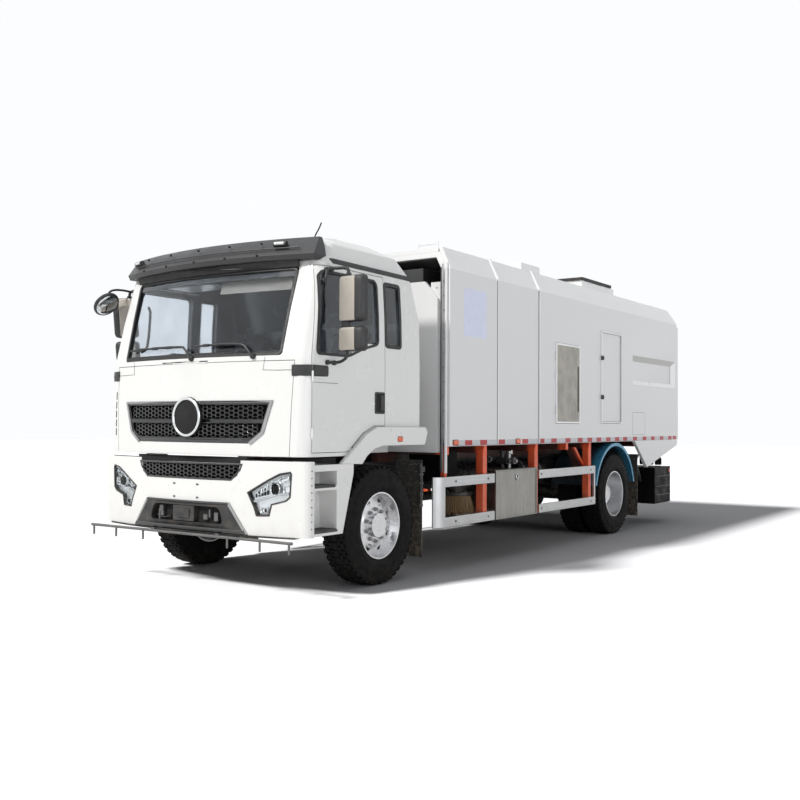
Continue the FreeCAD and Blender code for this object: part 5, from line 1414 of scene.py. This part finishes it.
class SWEEPER_OT_body_walls(bpy.types.Operator):
    """Makes the body's walls and shoulders with seams, ribs, warning tape, side lamps and blank sign; ribs, seams and
    the recess's bevels carry painted highlights and painted shade.
    """
    bl_idname = "sweeper.body_walls"
    bl_label = "Body walls"

    def execute(self, context):
        rib = sizes().rib
        for side, sign in SIDES:
            dressed("body_side_" + side, "chassis", "body_white", 0.003, sharp=15)
            place = flank(BODY_X, sign)
            trim = Shape("seal_rubber")
            for y in (1.850, 2.770):
                trim.tube([place(y, z, 0.0004) for z in (1.18, 1.8, 2.4, 2.84)], 0.0022, 6, smooth=False)
                # painted highlight: lighter white strips and ribs at the seams, for the light they catch
                trim.use("edge_white").plate(rectangle(y - 0.020, y + 0.020, 2.835, 2.845), place, -0.01, 0.003)
                section = ((-rib, 0.0), (-rib + 0.001, 0.018), (rib - 0.004, 0.018), (rib, 0.0))
                trim.rings([[Vector((sign * (x + out), aft(y + shift), z + out)) for shift, out in section]
                    for x, z in ((1.249, 2.835), (1.146, 3.044))])
                trim.box(place(y + 0.004, 1.18, -0.002), place(y + 0.014, 2.84, (y - 0.55) * 0.006))
                trim.use("seal_rubber")
            trim.tube([place(y, 1.176, 0.0004) for y in (1.05, 3.0, 5.0, 7.0)], 0.0016, 6, smooth=False)

            def tape(finish, start, stop):
                trim.use(finish).plate(rectangle(start, stop, TAPE_LOW, TAPE_HIGH), place, -0.001, 0.0012, 0.0004)

            for y, following in zip(RED_TAPE_Y, RED_TAPE_Y[1:] + (None,)):
                tape("tape_red", y - 0.068, min(y + 0.068, 7.205))
                if following:
                    start, stop = y + 0.072, following - 0.072
                    tape("tape_silver", start, 2.236 if start < SIDE_LAMPS_Y[1] < stop else stop)
            for y in SIDE_LAMPS_Y:
                lamp = rounded(y - 0.050, y + 0.050, 1.176, 1.232, 0.014, 4)
                trim.use("black_plastic").plate(lamp, place, -0.001, 0.006, 0.002)
                trim.use("amber").plate(inset(lamp, 0.005), place, 0.004, 0.016, 0.006)
            trim.use("sign_blue").plate(rounded(1.195, 1.625, 2.225, 2.690, 0.004, 2), place, -0.001, 0.0015, 0.0006)
            if sign > 0:
                trim.use("seal_rubber").hoop(rectangle(5.500, 5.950, 1.250, 1.550), place, 0.003, -0.001, 0.0006)
                # painted highlight and painted shade: the recess's lower and rear bevels take the lighter white, its
                # top bevel the darker shade
                outer = rectangle(5.507, 7.155, 1.915, 2.300)
                inner = rectangle(5.527, 7.005, 1.970, 2.225)
                for index, finish in enumerate(("edge_white", "edge_white", "edge_shade")):
                    edge = [place(*corner, 0.002) for corner in outer[index:index + 2]]
                    foot = [place(*corner, -0.0235) for corner in inner[index:index + 2]]
                    trim.use(finish).rings([edge, foot], closed=False, capped=False)
            tape("tape_silver", 1.100, 1.216)
            trim.piece("wall_trim_" + side, "chassis", "body_white")
        return {"FINISHED"}


class SWEEPER_OT_body_front(bpy.types.Operator):
    """Makes the body's front with its riveted panel, filler strips, pipes, brackets and cable clips"""
    bl_idname = "sweeper.body_front"
    bl_label = "Body front"

    def execute(self, context):
        dressed("body_front", "chassis", "body_white", 0.004)
        dressed("intake_housing", "chassis", "housing_dark", 0.008)
        front = Shape("body_white")
        y = aft(0.935)
        for sign in (1, -1):
            front.use("body_white").box((sign * 1.040, y, 1.115), (sign * 1.158, y + 0.018, 2.720))
            front.use("bar_steel")
            for step in range(12):
                z = 1.18 + step * 0.135
                front.lathe([(0.0, 0.008), (-0.003, 0.007), (-0.005, 0.001)], (sign * 1.105, y, z), "Y", 12)
                front.lathe([(0.0, 0.006), (-0.003, 0.005), (-0.004, 0.001)], (sign * 1.205, aft(0.899), z + 0.05),
                    "Y", 12)
            front.use("guard_aluminium")
            front.box(*beside(sign, (1.186, 0.892, 0.93), (1.200, 0.902, 2.88)))
            front.use("seal_rubber").tube([(sign * 1.172, aft(0.905), z) for z in (0.95, 1.6, 2.2, 2.85)], 0.006, 8)
            front.use("black_plastic")
            for z in (1.35, 1.75, 2.15, 2.55):
                front.tube([(sign * 1.070, y - 0.002, z), (sign * 1.080, y - 0.020, z + 0.01),
                    (sign * 1.100, y - 0.004, z + 0.02)], 0.004, 8)
        front.use("seal_rubber").tube([(0.98, y + 0.01, 1.12), (0.99, y - 0.012, 1.4), (0.975, y - 0.012, 1.9),
            (0.985, y + 0.01, 2.5)], 0.008, 8)
        front.piece("front_details", "chassis", "body_white")
        return {"FINISHED"}


class SWEEPER_OT_service_doors(bpy.types.Operator):
    """Makes the two service doors: frames, woven mesh, handle, latches and hinges"""
    bl_idname = "sweeper.service_doors"
    bl_label = "Service doors"

    def execute(self, context):
        low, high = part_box("mesh_door")
        mesh = Shape("body_white").copy_of("mesh_door")
        (_, y0, z0), (top, y1, z1) = low, high
        place = lateral(top)
        # painted highlight: the door's frame in the lighter white
        mesh.use("edge_white").hoop(rectangle(y0, y1, z0, z1), place, 0.020, -0.010, 0.005, 0.002)
        mesh.use("woven_wire").plate(rectangle(y0 + 0.018, y1 - 0.018, z0 + 0.018, z1 - 0.018), place, -0.003, -0.001)
        pitch = sizes().mesh_pitch / 3
        for step in range(1, int((y1 - y0 - 0.04) / pitch)):
            y = y0 + 0.02 + step * pitch
            mesh.box((top - 0.001, y - 0.0017, z0 + 0.02), (top + 0.0015, y + 0.0017, z1 - 0.02))
        for step in range(1, int((z1 - z0 - 0.04) / pitch)):
            z = z0 + 0.02 + step * pitch
            mesh.box((top - 0.001, y0 + 0.02, z - 0.0017), (top + 0.0020, y1 - 0.02, z + 0.0017))
        mesh.use("black_plastic").plate(rounded(y1 - 0.075, y1 - 0.045, 1.530, 2.060, 0.006, 3), place, -0.001,
            0.0060, 0.002)
        mesh.use("body_white")
        for z in (z0 + 0.15, z1 - 0.15):
            mesh.rod((top - 0.004, y0 - 0.002, z - 0.05), (top - 0.004, y0 - 0.002, z + 0.05), 0.010, 12)
        mesh.piece("woven_mesh_door", "mesh_door", "body_white", ("mesh_door",), 0.0)
        low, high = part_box("plain_door")
        plain = Shape("body_white").copy_of("plain_door")
        (_, y0, z0), (outer, y1, z1) = low, high
        flat = lateral(outer)
        # painted highlight: the door's frame in the lighter white
        plain.use("edge_white").hoop(rectangle(y0, y1, z0, z1), flat, 0.016, -0.010, 0.006, 0.002)
        plain.use("seal_rubber").hoop(rectangle(y0 + 0.017, y1 - 0.017, z0 + 0.017, z1 - 0.017), flat, 0.003, -0.002,
            0.0008)
        for z in (1.722, 2.204):
            latch = rounded(y0 - 0.010, y0 + 0.050, z - 0.026, z + 0.026, 0.008, 4)
            plain.use("black_plastic").plate(latch, flat, -0.001, 0.012, 0.004)
            plain.use("satin").plate(inset(latch, 0.013), flat, 0.008, 0.015, 0.003)
        plain.use("body_white")
        for z in (1.650, 2.210):
            plain.rod((outer - 0.004, y1 + 0.001, z - 0.045), (outer - 0.004, y1 + 0.001, z + 0.045), 0.010, 12)
        plain.piece("latched_door", "plain_door", "body_white", ("plain_door",), 0.0)
        return {"FINISHED"}


class SWEEPER_OT_roof(bpy.types.Operator):
    """Makes the roof with its raised boxes, lid seal, walkway ribs and lid handles"""
    bl_idname = "sweeper.roof"
    bl_label = "Roof"

    def execute(self, context):
        dressed("body_roof", "chassis", "body_white", 0.005)
        dressed("roof_lid", "roof_lid", "flap_rubber", 0.004)
        roof = Shape("body_white")
        for y in (1.30, 1.85, 2.77, 3.20, 4.10, 4.70, 6.40, 6.90):
            for sign in (1, -1):
                roof.box(*beside(sign, (0.30, y - 0.018, 3.046), (1.080, y + 0.018, 3.058)))
        roof.use("frame_paint")
        for x in (-0.22, 0.22):
            roof.box((x - 0.012, aft(1.2), 3.046), (x + 0.012, aft(3.3), 3.062))
        for step in range(18):
            y = aft(1.25 + step * 0.115)
            roof.box((-0.21, y - 0.008, 3.048), (0.21, y + 0.008, 3.058))
        roof.piece("roof_ribs", "chassis", "body_white")
        low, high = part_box("roof_lid")
        lid = Shape("bar_steel")
        for x in (-0.35, 0.35):
            lid.staple([lambda d, u=u: (u, high.y - 0.06, high.z + d) for u in (x - 0.07, x + 0.07)], -0.002, 0.030,
                0.007)
        lid.use("body_white").plate(rounded(low.x + 0.05, high.x - 0.05, low.y + 0.05, high.y - 0.05, 0.03),
            level(high.z), -0.004, 0.003, 0.002)
        lid.piece("lid_handles", "roof_lid", "flap_rubber")
        return {"FINISHED"}


class SWEEPER_OT_tail(bpy.types.Operator):
    """Makes the tailgate with ribs, rear lamps, door bars and handles, and the sweeping box with hoses"""
    bl_idname = "sweeper.tail"
    bl_label = "Tail"

    def execute(self, context):
        dressed("tailgate", "tailgate", "body_white", 0.004)
        low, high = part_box("tailgate")
        gate = Shape("body_white")
        place = rearward(high.y)
        for x in (-1.10, -0.55, 0.0, 0.55, 1.10):
            gate.plate(rectangle(x - 0.030, x + 0.030, low.z + 0.10, high.z - 0.14), place, -0.004, 0.012, 0.005)
        for z in (low.z + 0.16, (low.z + high.z) / 2, high.z - 0.18):
            gate.plate(rectangle(-1.18, 1.18, z - 0.03, z + 0.03), place, -0.004, 0.014, 0.005)
        for step in range(10):
            x = -1.08 + step * 0.24
            gate.use("tape_red" if step % 2 == 0 else "tape_silver")
            gate.plate(rectangle(x - 0.07, x + 0.07, low.z + 0.03, low.z + 0.08), place, -0.002, 0.0015)
        gate.use("bar_steel")
        for x in (-0.9, 0.9):
            gate.staple([lambda d, z=z: place(x, low.z + z, d) for z in (0.22, 0.42)], 0.004, 0.030, 0.008)
        gate.piece("tailgate_ribs", "tailgate", "body_white")
        dressed("sweep_box", "chassis", "sweep_black", 0.006)
        low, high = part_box("sweep_box")
        rear, back = Shape("red_lens"), rearward(high.y)
        for sign in (1, -1):
            for x, finish in ((1.02, "red_lens"), (0.90, "amber"), (0.79, "marker_lens")):
                rim = rounded(sign * x - 0.05, sign * x + 0.05, high.z - 0.20, high.z - 0.09, 0.02, 4)
                rear.use("black_plastic").plate(rim, back, -0.004, 0.008, 0.003)
                rear.use(finish).plate(inset(rim, 0.008), back, 0.005, 0.018, 0.006)
            side = lateral(high.x, sign)
            lamp = rounded(high.y - 0.085, high.y - 0.025, high.z - 0.290, high.z - 0.245, 0.010, 3)
            rear.use("red_lens").plate(lamp, side, -0.002, 0.010, 0.004)
            rear.use("black_plastic")
            for z in (0.40, 0.52, 0.66):
                rear.plate(rectangle(low.y + 0.06, high.y - 0.06, z - 0.006, z + 0.006), side, -0.002, 0.005, 0.002)
            rear.use("hose_rubber")
            for shift, radius in ((0.0, 0.022), (0.07, 0.018), (0.13, 0.022)):
                path = ((0.98, 0.02, 0.60 + shift), (1.02, -0.10, 0.62), (1.03, -0.20, 0.74 + shift),
                    (0.99, -0.24, 0.92))
                rear.tube([(sign * (x - shift), low.y + y, z) for x, y, z in path], radius, 12)
        rear.piece("tail_lamps", "chassis", "sweep_black")
        return {"FINISHED"}


# ---- below the body ----

GUARD_RUNS = ((0.99, 1.80), (2.84, 4.36))
GUARD_RAILS = ((0.413, 0.510), (0.790, 0.885))
LOCK_Y, LOCK_Z = 2.319, 0.831


class SWEEPER_OT_guards(bpy.types.Operator):
    """Makes the side guards, the tool cabinet and its door with lock, hinge and folds"""
    bl_idname = "sweeper.guards"
    bl_label = "Guards and cabinet"

    def execute(self, context):
        dressed("side_guards", "chassis", "guard_aluminium", 0.006)
        dressed("tool_cabinet", "chassis", "cabinet_steel", 0.003)
        dressed("cabinet_door", "cabinet_door", "cabinet_steel", 0.004)
        low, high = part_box("cabinet_door")
        lock = Shape("chrome")
        place = lateral(high.x)
        y, z = aft(LOCK_Y), LOCK_Z
        lock.plate(circle(y, z, 0.026, 24), place, -0.002, 0.004, 0.0015)
        lock.use("dark_gap").plate(rounded(y - 0.016, y + 0.016, z - 0.013, z + 0.019, 0.006, 3), place, 0.002,
            0.0050, 0.001)
        lock.use("satin").plate(rectangle(y - 0.009, y + 0.009, z - 0.034, z - 0.004), place, 0.001, 0.0075, 0.002)
        lock.use("cabinet_steel").hoop(rectangle(low.y + 0.004, high.y - 0.004, low.z + 0.004, high.z - 0.004), place,
            0.012, -0.003, 0.0028, 0.002)
        for y in (low.y + 0.12, high.y - 0.12):
            lock.rod(*((high.x - 0.006, y + half, low.z + 0.006) for half in (-0.05, 0.05)), 0.008, 12)
        lock.piece("cabinet_lock", "cabinet_door", "cabinet_steel")
        low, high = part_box("side_guards")
        rails = Shape("guard_aluminium")
        for sign in (1, -1):
            side = lateral(high.x, sign)
            for start, stop in GUARD_RUNS:
                for z0, z1 in GUARD_RAILS:
                    for z in (z0 + 0.026, z1 - 0.026):
                        rails.plate(rectangle(aft(start), aft(stop), z - 0.004, z + 0.004), side, -0.003, 0.0022,
                            0.001)
            rails.use("bar_steel")
            for y in (1.10, 1.72, 2.90, 4.22):
                for z in (0.462, 0.838):
                    rails.lathe([(0, 0.011), (sign * 0.005, 0.010), (sign * 0.007, 0.001)], side(aft(y), z, 0.0), "X",
                        6)
            rails.use("guard_aluminium")
        rails.piece("rail_grooves", "chassis", "guard_aluminium")
        return {"FINISHED"}


class SWEEPER_OT_fenders(bpy.types.Operator):
    """Makes the rear fenders with a pale lip, a painted highlight along the arch, and the mudflaps with their hangers
    """
    bl_idname = "sweeper.fenders"
    bl_label = "Fenders and mudflaps"

    def execute(self, context):
        dressed("rear_fenders", "chassis", "fender_blue", 0.004)
        low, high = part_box("rear_fenders")
        radius = (high.y - low.y) / 2
        # painted highlight: a lighter blue tube along the arch's edge
        lip = Shape("fender_edge")
        for sign in (1, -1):
            arc = [math.radians(14 + 152 * step / 24) for step in range(25)]
            lip.tube([(sign * (high.x - 0.004), REAR_AXLE - radius * math.cos(a),
                WHEEL_Z + (high.z - WHEEL_Z) * math.sin(a)) for a in arc], 0.0075, 8, smooth=False)
        lip.piece("fender_lips", "chassis", "fender_blue")
        dressed("mudflaps", "chassis", "flap_rubber", 0.003)
        hanger = Shape("frame_paint")
        for sign in (1, -1):
            x = sign * 1.150
            hanger.tube([(x, aft(0.600), 1.02), (x, aft(0.612), 0.90), (x, aft(0.612), 0.62)], 0.016, 10)
            hanger.use("bar_steel")
            for z in (0.64, 0.74, 0.84, 0.92):
                hanger.rod((x, aft(0.585), z), (x, aft(0.640), z), 0.009, 10)
            hanger.use("frame_paint")
        hanger.piece("flap_hangers", "chassis", "frame_paint")
        return {"FINISHED"}


class SWEEPER_OT_frame(bpy.types.Operator):
    """Makes the frame and what it carries with soft edges, and adds valves, lines, small tanks and straps"""
    bl_idname = "sweeper.frame"
    bl_label = "Frame and lines"

    def execute(self, context):
        for node, slot, bevel in (("subframe", "subframe_orange", 0.005), ("frame_rails", "frame_paint", 0.004),
                ("front_axle", "frame_paint", 0.006), ("rear_axle", "frame_paint", 0.006),
                ("engine", "engine_casting", 0.012), ("fuel_tank", "tank_metal", 0.012),
                ("body_floor", "floor_steel", 0.003), ("spray_bar", "bar_steel", 0.002)):
            dressed(node, "chassis", slot, bevel)
        for side, sign in SIDES:
            dressed("steering_knuckle_" + side, "steer_" + side, "frame_paint", 0.004)
            dressed("broom_arm_" + side, "broom_arm_" + side, "frame_paint", 0.003)
        lines = Shape("hose_rubber")
        for sign in (1, -1):
            for shift, z, radius in ((0.0, 0.93, 0.013), (0.035, 0.965, 0.010), (0.060, 0.915, 0.008)):
                lines.tube([(sign * (0.455 + shift), aft(y), z + 0.012 * math.sin(y * 3 + shift * 40))
                    for y in (1.0, 1.6, 2.2, 2.8, 3.4, 4.0, 4.6, 5.4, 6.2)], radius, 8, 3)
            for y, drop in ((2.05, 0.28), (2.62, 0.20), (3.10, 0.34), (3.62, 0.24)):
                lines.tube(beside(sign, (0.50, y, 0.95), (0.66, y + 0.03, 0.95 - drop * 0.3),
                    (0.78, y + 0.10, 0.98 - drop), (0.70, y + 0.26, 0.93 - drop * 0.6), (0.52, y + 0.34, 0.95)),
                    0.014, 10)
            for y, z in ((2.030, 1.02), (2.430, 0.99), (2.585, 0.985)):
                lines.use("satin" if y > 2.5 else "frame_paint")
                for start, low, stop, high, radius, sides in ((0.94, 0, 1.06, 0, 0.036, 20),
                        (1.06, 0, 1.085, 0, 0.024, 6), (0.99, -0.075, 0.99, 0.085, 0.021, 16),
                        (0.99, 0.085, 0.99, 0.105, 0.034, 16)):
                    lines.rod(*beside(sign, (start, y, z + low), (stop, y, z + high)), radius, sides)
                lines.tube(beside(sign, (0.99, y, z - 0.07), (0.97, y + 0.03, z - 0.14), (0.80, y + 0.05, z - 0.12),
                    (0.52, y + 0.05, z - 0.05)), 0.011, 10)
            lines.use("brass").rod(*beside(sign, (1.02, 2.585, 1.06), (1.02, 2.585, 1.10)), 0.012, 10)
            lines.use("sweep_black")
            lines.box(*beside(sign, (0.62, 1.20, 0.82), (0.98, 1.52, 1.12)))

            def barrel(radius, places):
                return [[(sign * (0.76 + radius * math.cos(a)), aft(y), 0.84 + radius * math.sin(a))
                    for a in angles(32)] for y in places]

            lines.rings(barrel(0.15, (2.98, 3.00, 3.62, 3.64)))
            lines.use("bar_steel")
            for y in (3.10, 3.50):
                lines.rings(barrel(0.154, (y - 0.014, y + 0.014)))
            lines.use("hose_rubber")
        lines.piece("lines_and_valves", "chassis", "frame_paint")
        low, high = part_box("fuel_tank")
        tank = Shape("bar_steel")
        for y in (low.y + 0.18, high.y - 0.18):
            over = ((high.x - 0.01, high.z + 0.004), (low.x + 0.04, high.z + 0.004), (low.x - 0.004, high.z - 0.05),
                (low.x - 0.004, low.z + 0.05), (low.x + 0.04, low.z - 0.004), (high.x - 0.01, low.z - 0.004))
            tank.tube([(x, y, z) for x, z in over], 0.010, 8, smooth=False)
        tank.use("black_plastic").rod(*((low.x + 0.10, low.y + 0.10, high.z + z) for z in (-0.01, 0.035)), 0.045, 24)
        tank.piece("tank_straps", "chassis", "tank_metal")
        return {"FINISHED"}


BRISTLE_RINGS = ((0.88, 0.985, 88), (0.78, 0.93, 80), (0.66, 0.84, 64))  # reach above and below, and how many


class SWEEPER_OT_brooms(bpy.types.Operator):
    """Makes the side brooms from separate bundles of bristles under a plate"""
    bl_idname = "sweeper.brooms"
    bl_label = "Side brooms"

    def execute(self, context):
        for side, _ in SIDES:
            low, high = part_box("side_broom_" + side)
            centre = (low + high) / 2
            reach = (high.x - low.x) / 2
            broom = Shape("broom_bristle")
            broom.lathe([(low.z + 0.06, reach * 0.60), (low.z + 0.14, reach * 0.66), (high.z - 0.045, reach * 0.74),
                (high.z - 0.040, 0.02)], (centre.x, centre.y, 0), "Z", 40)
            spin = 0
            for ring, (top, bottom, count) in enumerate(BRISTLE_RINGS):
                for step in range(count):
                    a = 2 * math.pi * (step + 0.5 * ring) / count
                    spin = (spin * 31 + 17) % 101
                    sway = (spin / 101 - 0.5) * 0.10
                    drop = 0.006 * (spin % 5)
                    start = around(centre, reach * top * 0.80, a, high.z - 0.035)
                    stop = around(centre, reach * bottom, a + sway, low.z + drop)
                    broom.rod(start, stop, 0.0055, 5, 0.0085)
            broom.use("frame_paint").lathe([(high.z - 0.045, reach * 0.84), (high.z - 0.030, reach * 0.86),
                (high.z - 0.012, reach * 0.84), (high.z - 0.008, 0.06), (high.z, 0.05), (high.z, 0.001)],
                (centre.x, centre.y, 0), "Z", 40)
            broom.use("bar_steel")
            for a in angles(6):
                spot = around(centre, 0.10, a, high.z - 0.012)
                broom.rod(spot, spot + Vector((0, 0, 0.010)), 0.012, 6)
            broom.piece("bristle_broom_" + side, "broom_" + side, "broom_bristle", ("side_broom_" + side,))
        return {"FINISHED"}


# ---- inside the cab ----

class SWEEPER_OT_cabin(bpy.types.Operator):
    """Makes the seats with padded cushions under clear film, the dashboard with its wheel, and grab handles"""
    bl_idname = "sweeper.cabin"
    bl_label = "Cabin"

    def cushion(self, shape, centre, half, swell):
        """A stuffed block with a crowned face and soft edges."""
        rows = []
        steps = 12
        for layer in range(steps + 1):
            a = math.pi * layer / steps - math.pi / 2
            scale = math.cos(a) ** 0.32 if 0 < layer < steps else 0.30
            height = half[2] * math.sin(a)
            row = []
            for step in range(36):
                t = 2 * math.pi * step / 36
                c, s = math.cos(t), math.sin(t)
                u = math.copysign(abs(c) ** 0.36, c) * half[0] * scale
                v = math.copysign(abs(s) ** 0.36, s) * half[1] * scale
                lift = swell * (1 - (u / half[0]) ** 2) * (1 - (v / half[1]) ** 2) * (0.5 + 0.5 * math.sin(a))
                row.append((centre[0] + u, centre[1] + v, centre[2] + height + lift))
            rows.append(row)
        return shape.rings(rows)

    def execute(self, context):
        dressed("dashboard", "cab", "dash_plastic", 0.006)
        low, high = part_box("seats")
        seats = Shape("seat_fabric")
        for x in (low.x + 0.25, high.x - 0.25):
            self.cushion(seats, (x, high.y - 0.43, low.z + 0.36), (0.225, 0.235, 0.075), 0.02)
            letter = "a" if x < 0 else "b"
            back = Shape("seat_fabric")
            self.cushion(back, (0, 0, 0), (0.215, 0.320, 0.065), 0.02)
            for vertex in back.mesh.verts:
                u, v, w = vertex.co
                vertex.co = (x + u, high.y - 0.10 + v * 0.16 - w, low.z + 0.72 + v)
            made = back.piece("seat_back_" + letter, "cab", "seat_fabric")
            rest = Shape("seat_fabric")
            self.cushion(rest, (0, 0, 0), (0.130, 0.075, 0.045), 0.01)
            for vertex in rest.mesh.verts:
                u, v, w = vertex.co
                vertex.co = (x + u, high.y - 0.055 - w, min(high.z - 0.005, low.z + 1.06 + v))
            made = rest.piece("head_rest_" + letter, "cab", "seat_fabric")
            film = Shape("clear_film")
            rows = []
            for step in range(19):
                t = step / 18
                row = []
                for side in range(15):
                    s = side / 14 - 0.5
                    crumple = 0.012 * math.sin(31 * t + 9 * s) + 0.010 * math.sin(17 * s * 2 + 23 * t)
                    row.append((x + s * 0.47,
                        high.y - 0.185 + t * 0.085 + crumple - 0.05 * (1 - abs(s) * 2) * (1 - t),
                        low.z + 0.42 + t * 0.62))
                rows.append(row)
            film.rings(rows, closed=False, capped=False)
            made = film.piece("seat_film_" + letter, "cab", "seat_fabric")
            solid = made.modifiers.new("thickness", "SOLIDIFY")
            solid.thickness = 0.0006
        seats.use("black_plastic")
        for x in (low.x + 0.25, high.x - 0.25):
            seats.box((x - 0.20, high.y - 0.62, low.z), (x + 0.20, high.y - 0.22, low.z + 0.26))
            for post in (x - 0.07, x + 0.07):
                seats.rod((post, high.y - 0.075, low.z + 0.94), (post, high.y - 0.070, low.z + 1.04), 0.007, 10)
        made = seats.piece("seat_cushions", "cab", "seat_fabric", ("seats",))
        inside = Shape("black_plastic")
        for sign in (1, -1):
            inside.tube(beside(sign, (0.985, -0.82, 2.02), (0.930, -0.80, 2.08), (0.930, -0.77, 2.36),
                (0.985, -0.74, 2.44)), 0.012, 10)
        inside.use("cab_plastic_white")
        for x in (-0.42, 0.42):
            inside.box((x - 0.26, aft(-0.78), 2.585), (x + 0.26, aft(-0.50), 2.60))
        inside.use("mirror_face")
        inside.rings([[screen_place(x, z, -depth)
            for x, z in ((0.14, 2.46), (0.86, 2.46), (0.86, 2.585), (0.14, 2.585))] for depth in (0.070, 0.085)])
        inside.piece("grab_handles", "cab", "dash_plastic")
        return {"FINISHED"}


# ---- panel and run ----

STEPS = (SWEEPER_OT_stage, SWEEPER_OT_carried, SWEEPER_OT_tyres, SWEEPER_OT_wheels, SWEEPER_OT_upper_grille,
    SWEEPER_OT_lower_grille, SWEEPER_OT_headlamps, SWEEPER_OT_bumper, SWEEPER_OT_windscreen, SWEEPER_OT_visor,
    SWEEPER_OT_flap, SWEEPER_OT_doors, SWEEPER_OT_mirrors, SWEEPER_OT_cab_shell, SWEEPER_OT_steps,
    SWEEPER_OT_body_walls, SWEEPER_OT_body_front, SWEEPER_OT_service_doors, SWEEPER_OT_roof, SWEEPER_OT_tail,
    SWEEPER_OT_guards, SWEEPER_OT_fenders, SWEEPER_OT_frame, SWEEPER_OT_brooms, SWEEPER_OT_cabin)
GROUPS = (("sweeper_paint", SweeperPaint), ("sweeper_sizes", SweeperSizes), ("sweeper_stage", SweeperStage))


class SWEEPER_PT_panel(bpy.types.Panel):
    """Lists the settings and the steps"""
    bl_idname = "SWEEPER_PT_panel"
    bl_label = "Sweeper truck"
    bl_space_type = "VIEW_3D"
    bl_region_type = "UI"
    bl_category = "Sweeper"

    def draw(self, context):
        """Draws every setting and a button for each step."""
        for name, group in GROUPS:
            box = self.layout.box()
            for setting in group.__annotations__:
                box.prop(getattr(context.scene, name), setting)
        for step in STEPS:
            self.layout.operator(step.bl_idname)


def register():
    """Registers the settings, the steps and the panel."""
    for name, group in GROUPS:
        bpy.utils.register_class(group)
        setattr(bpy.types.Scene, name, PointerProperty(type=group))
    for step in STEPS + (SWEEPER_PT_panel,):
        bpy.utils.register_class(step)


def unregister():
    """Takes them out again."""
    for step in reversed(STEPS + (SWEEPER_PT_panel,)):
        bpy.utils.unregister_class(step)
    for name, group in reversed(GROUPS):
        delattr(bpy.types.Scene, name)
        bpy.utils.unregister_class(group)


def main():
    """Runs every step in order."""
    register()
    for step in STEPS:
        getattr(bpy.ops.sweeper, step.bl_idname.split(".")[1])()


if __name__ == "__main__":
    main()
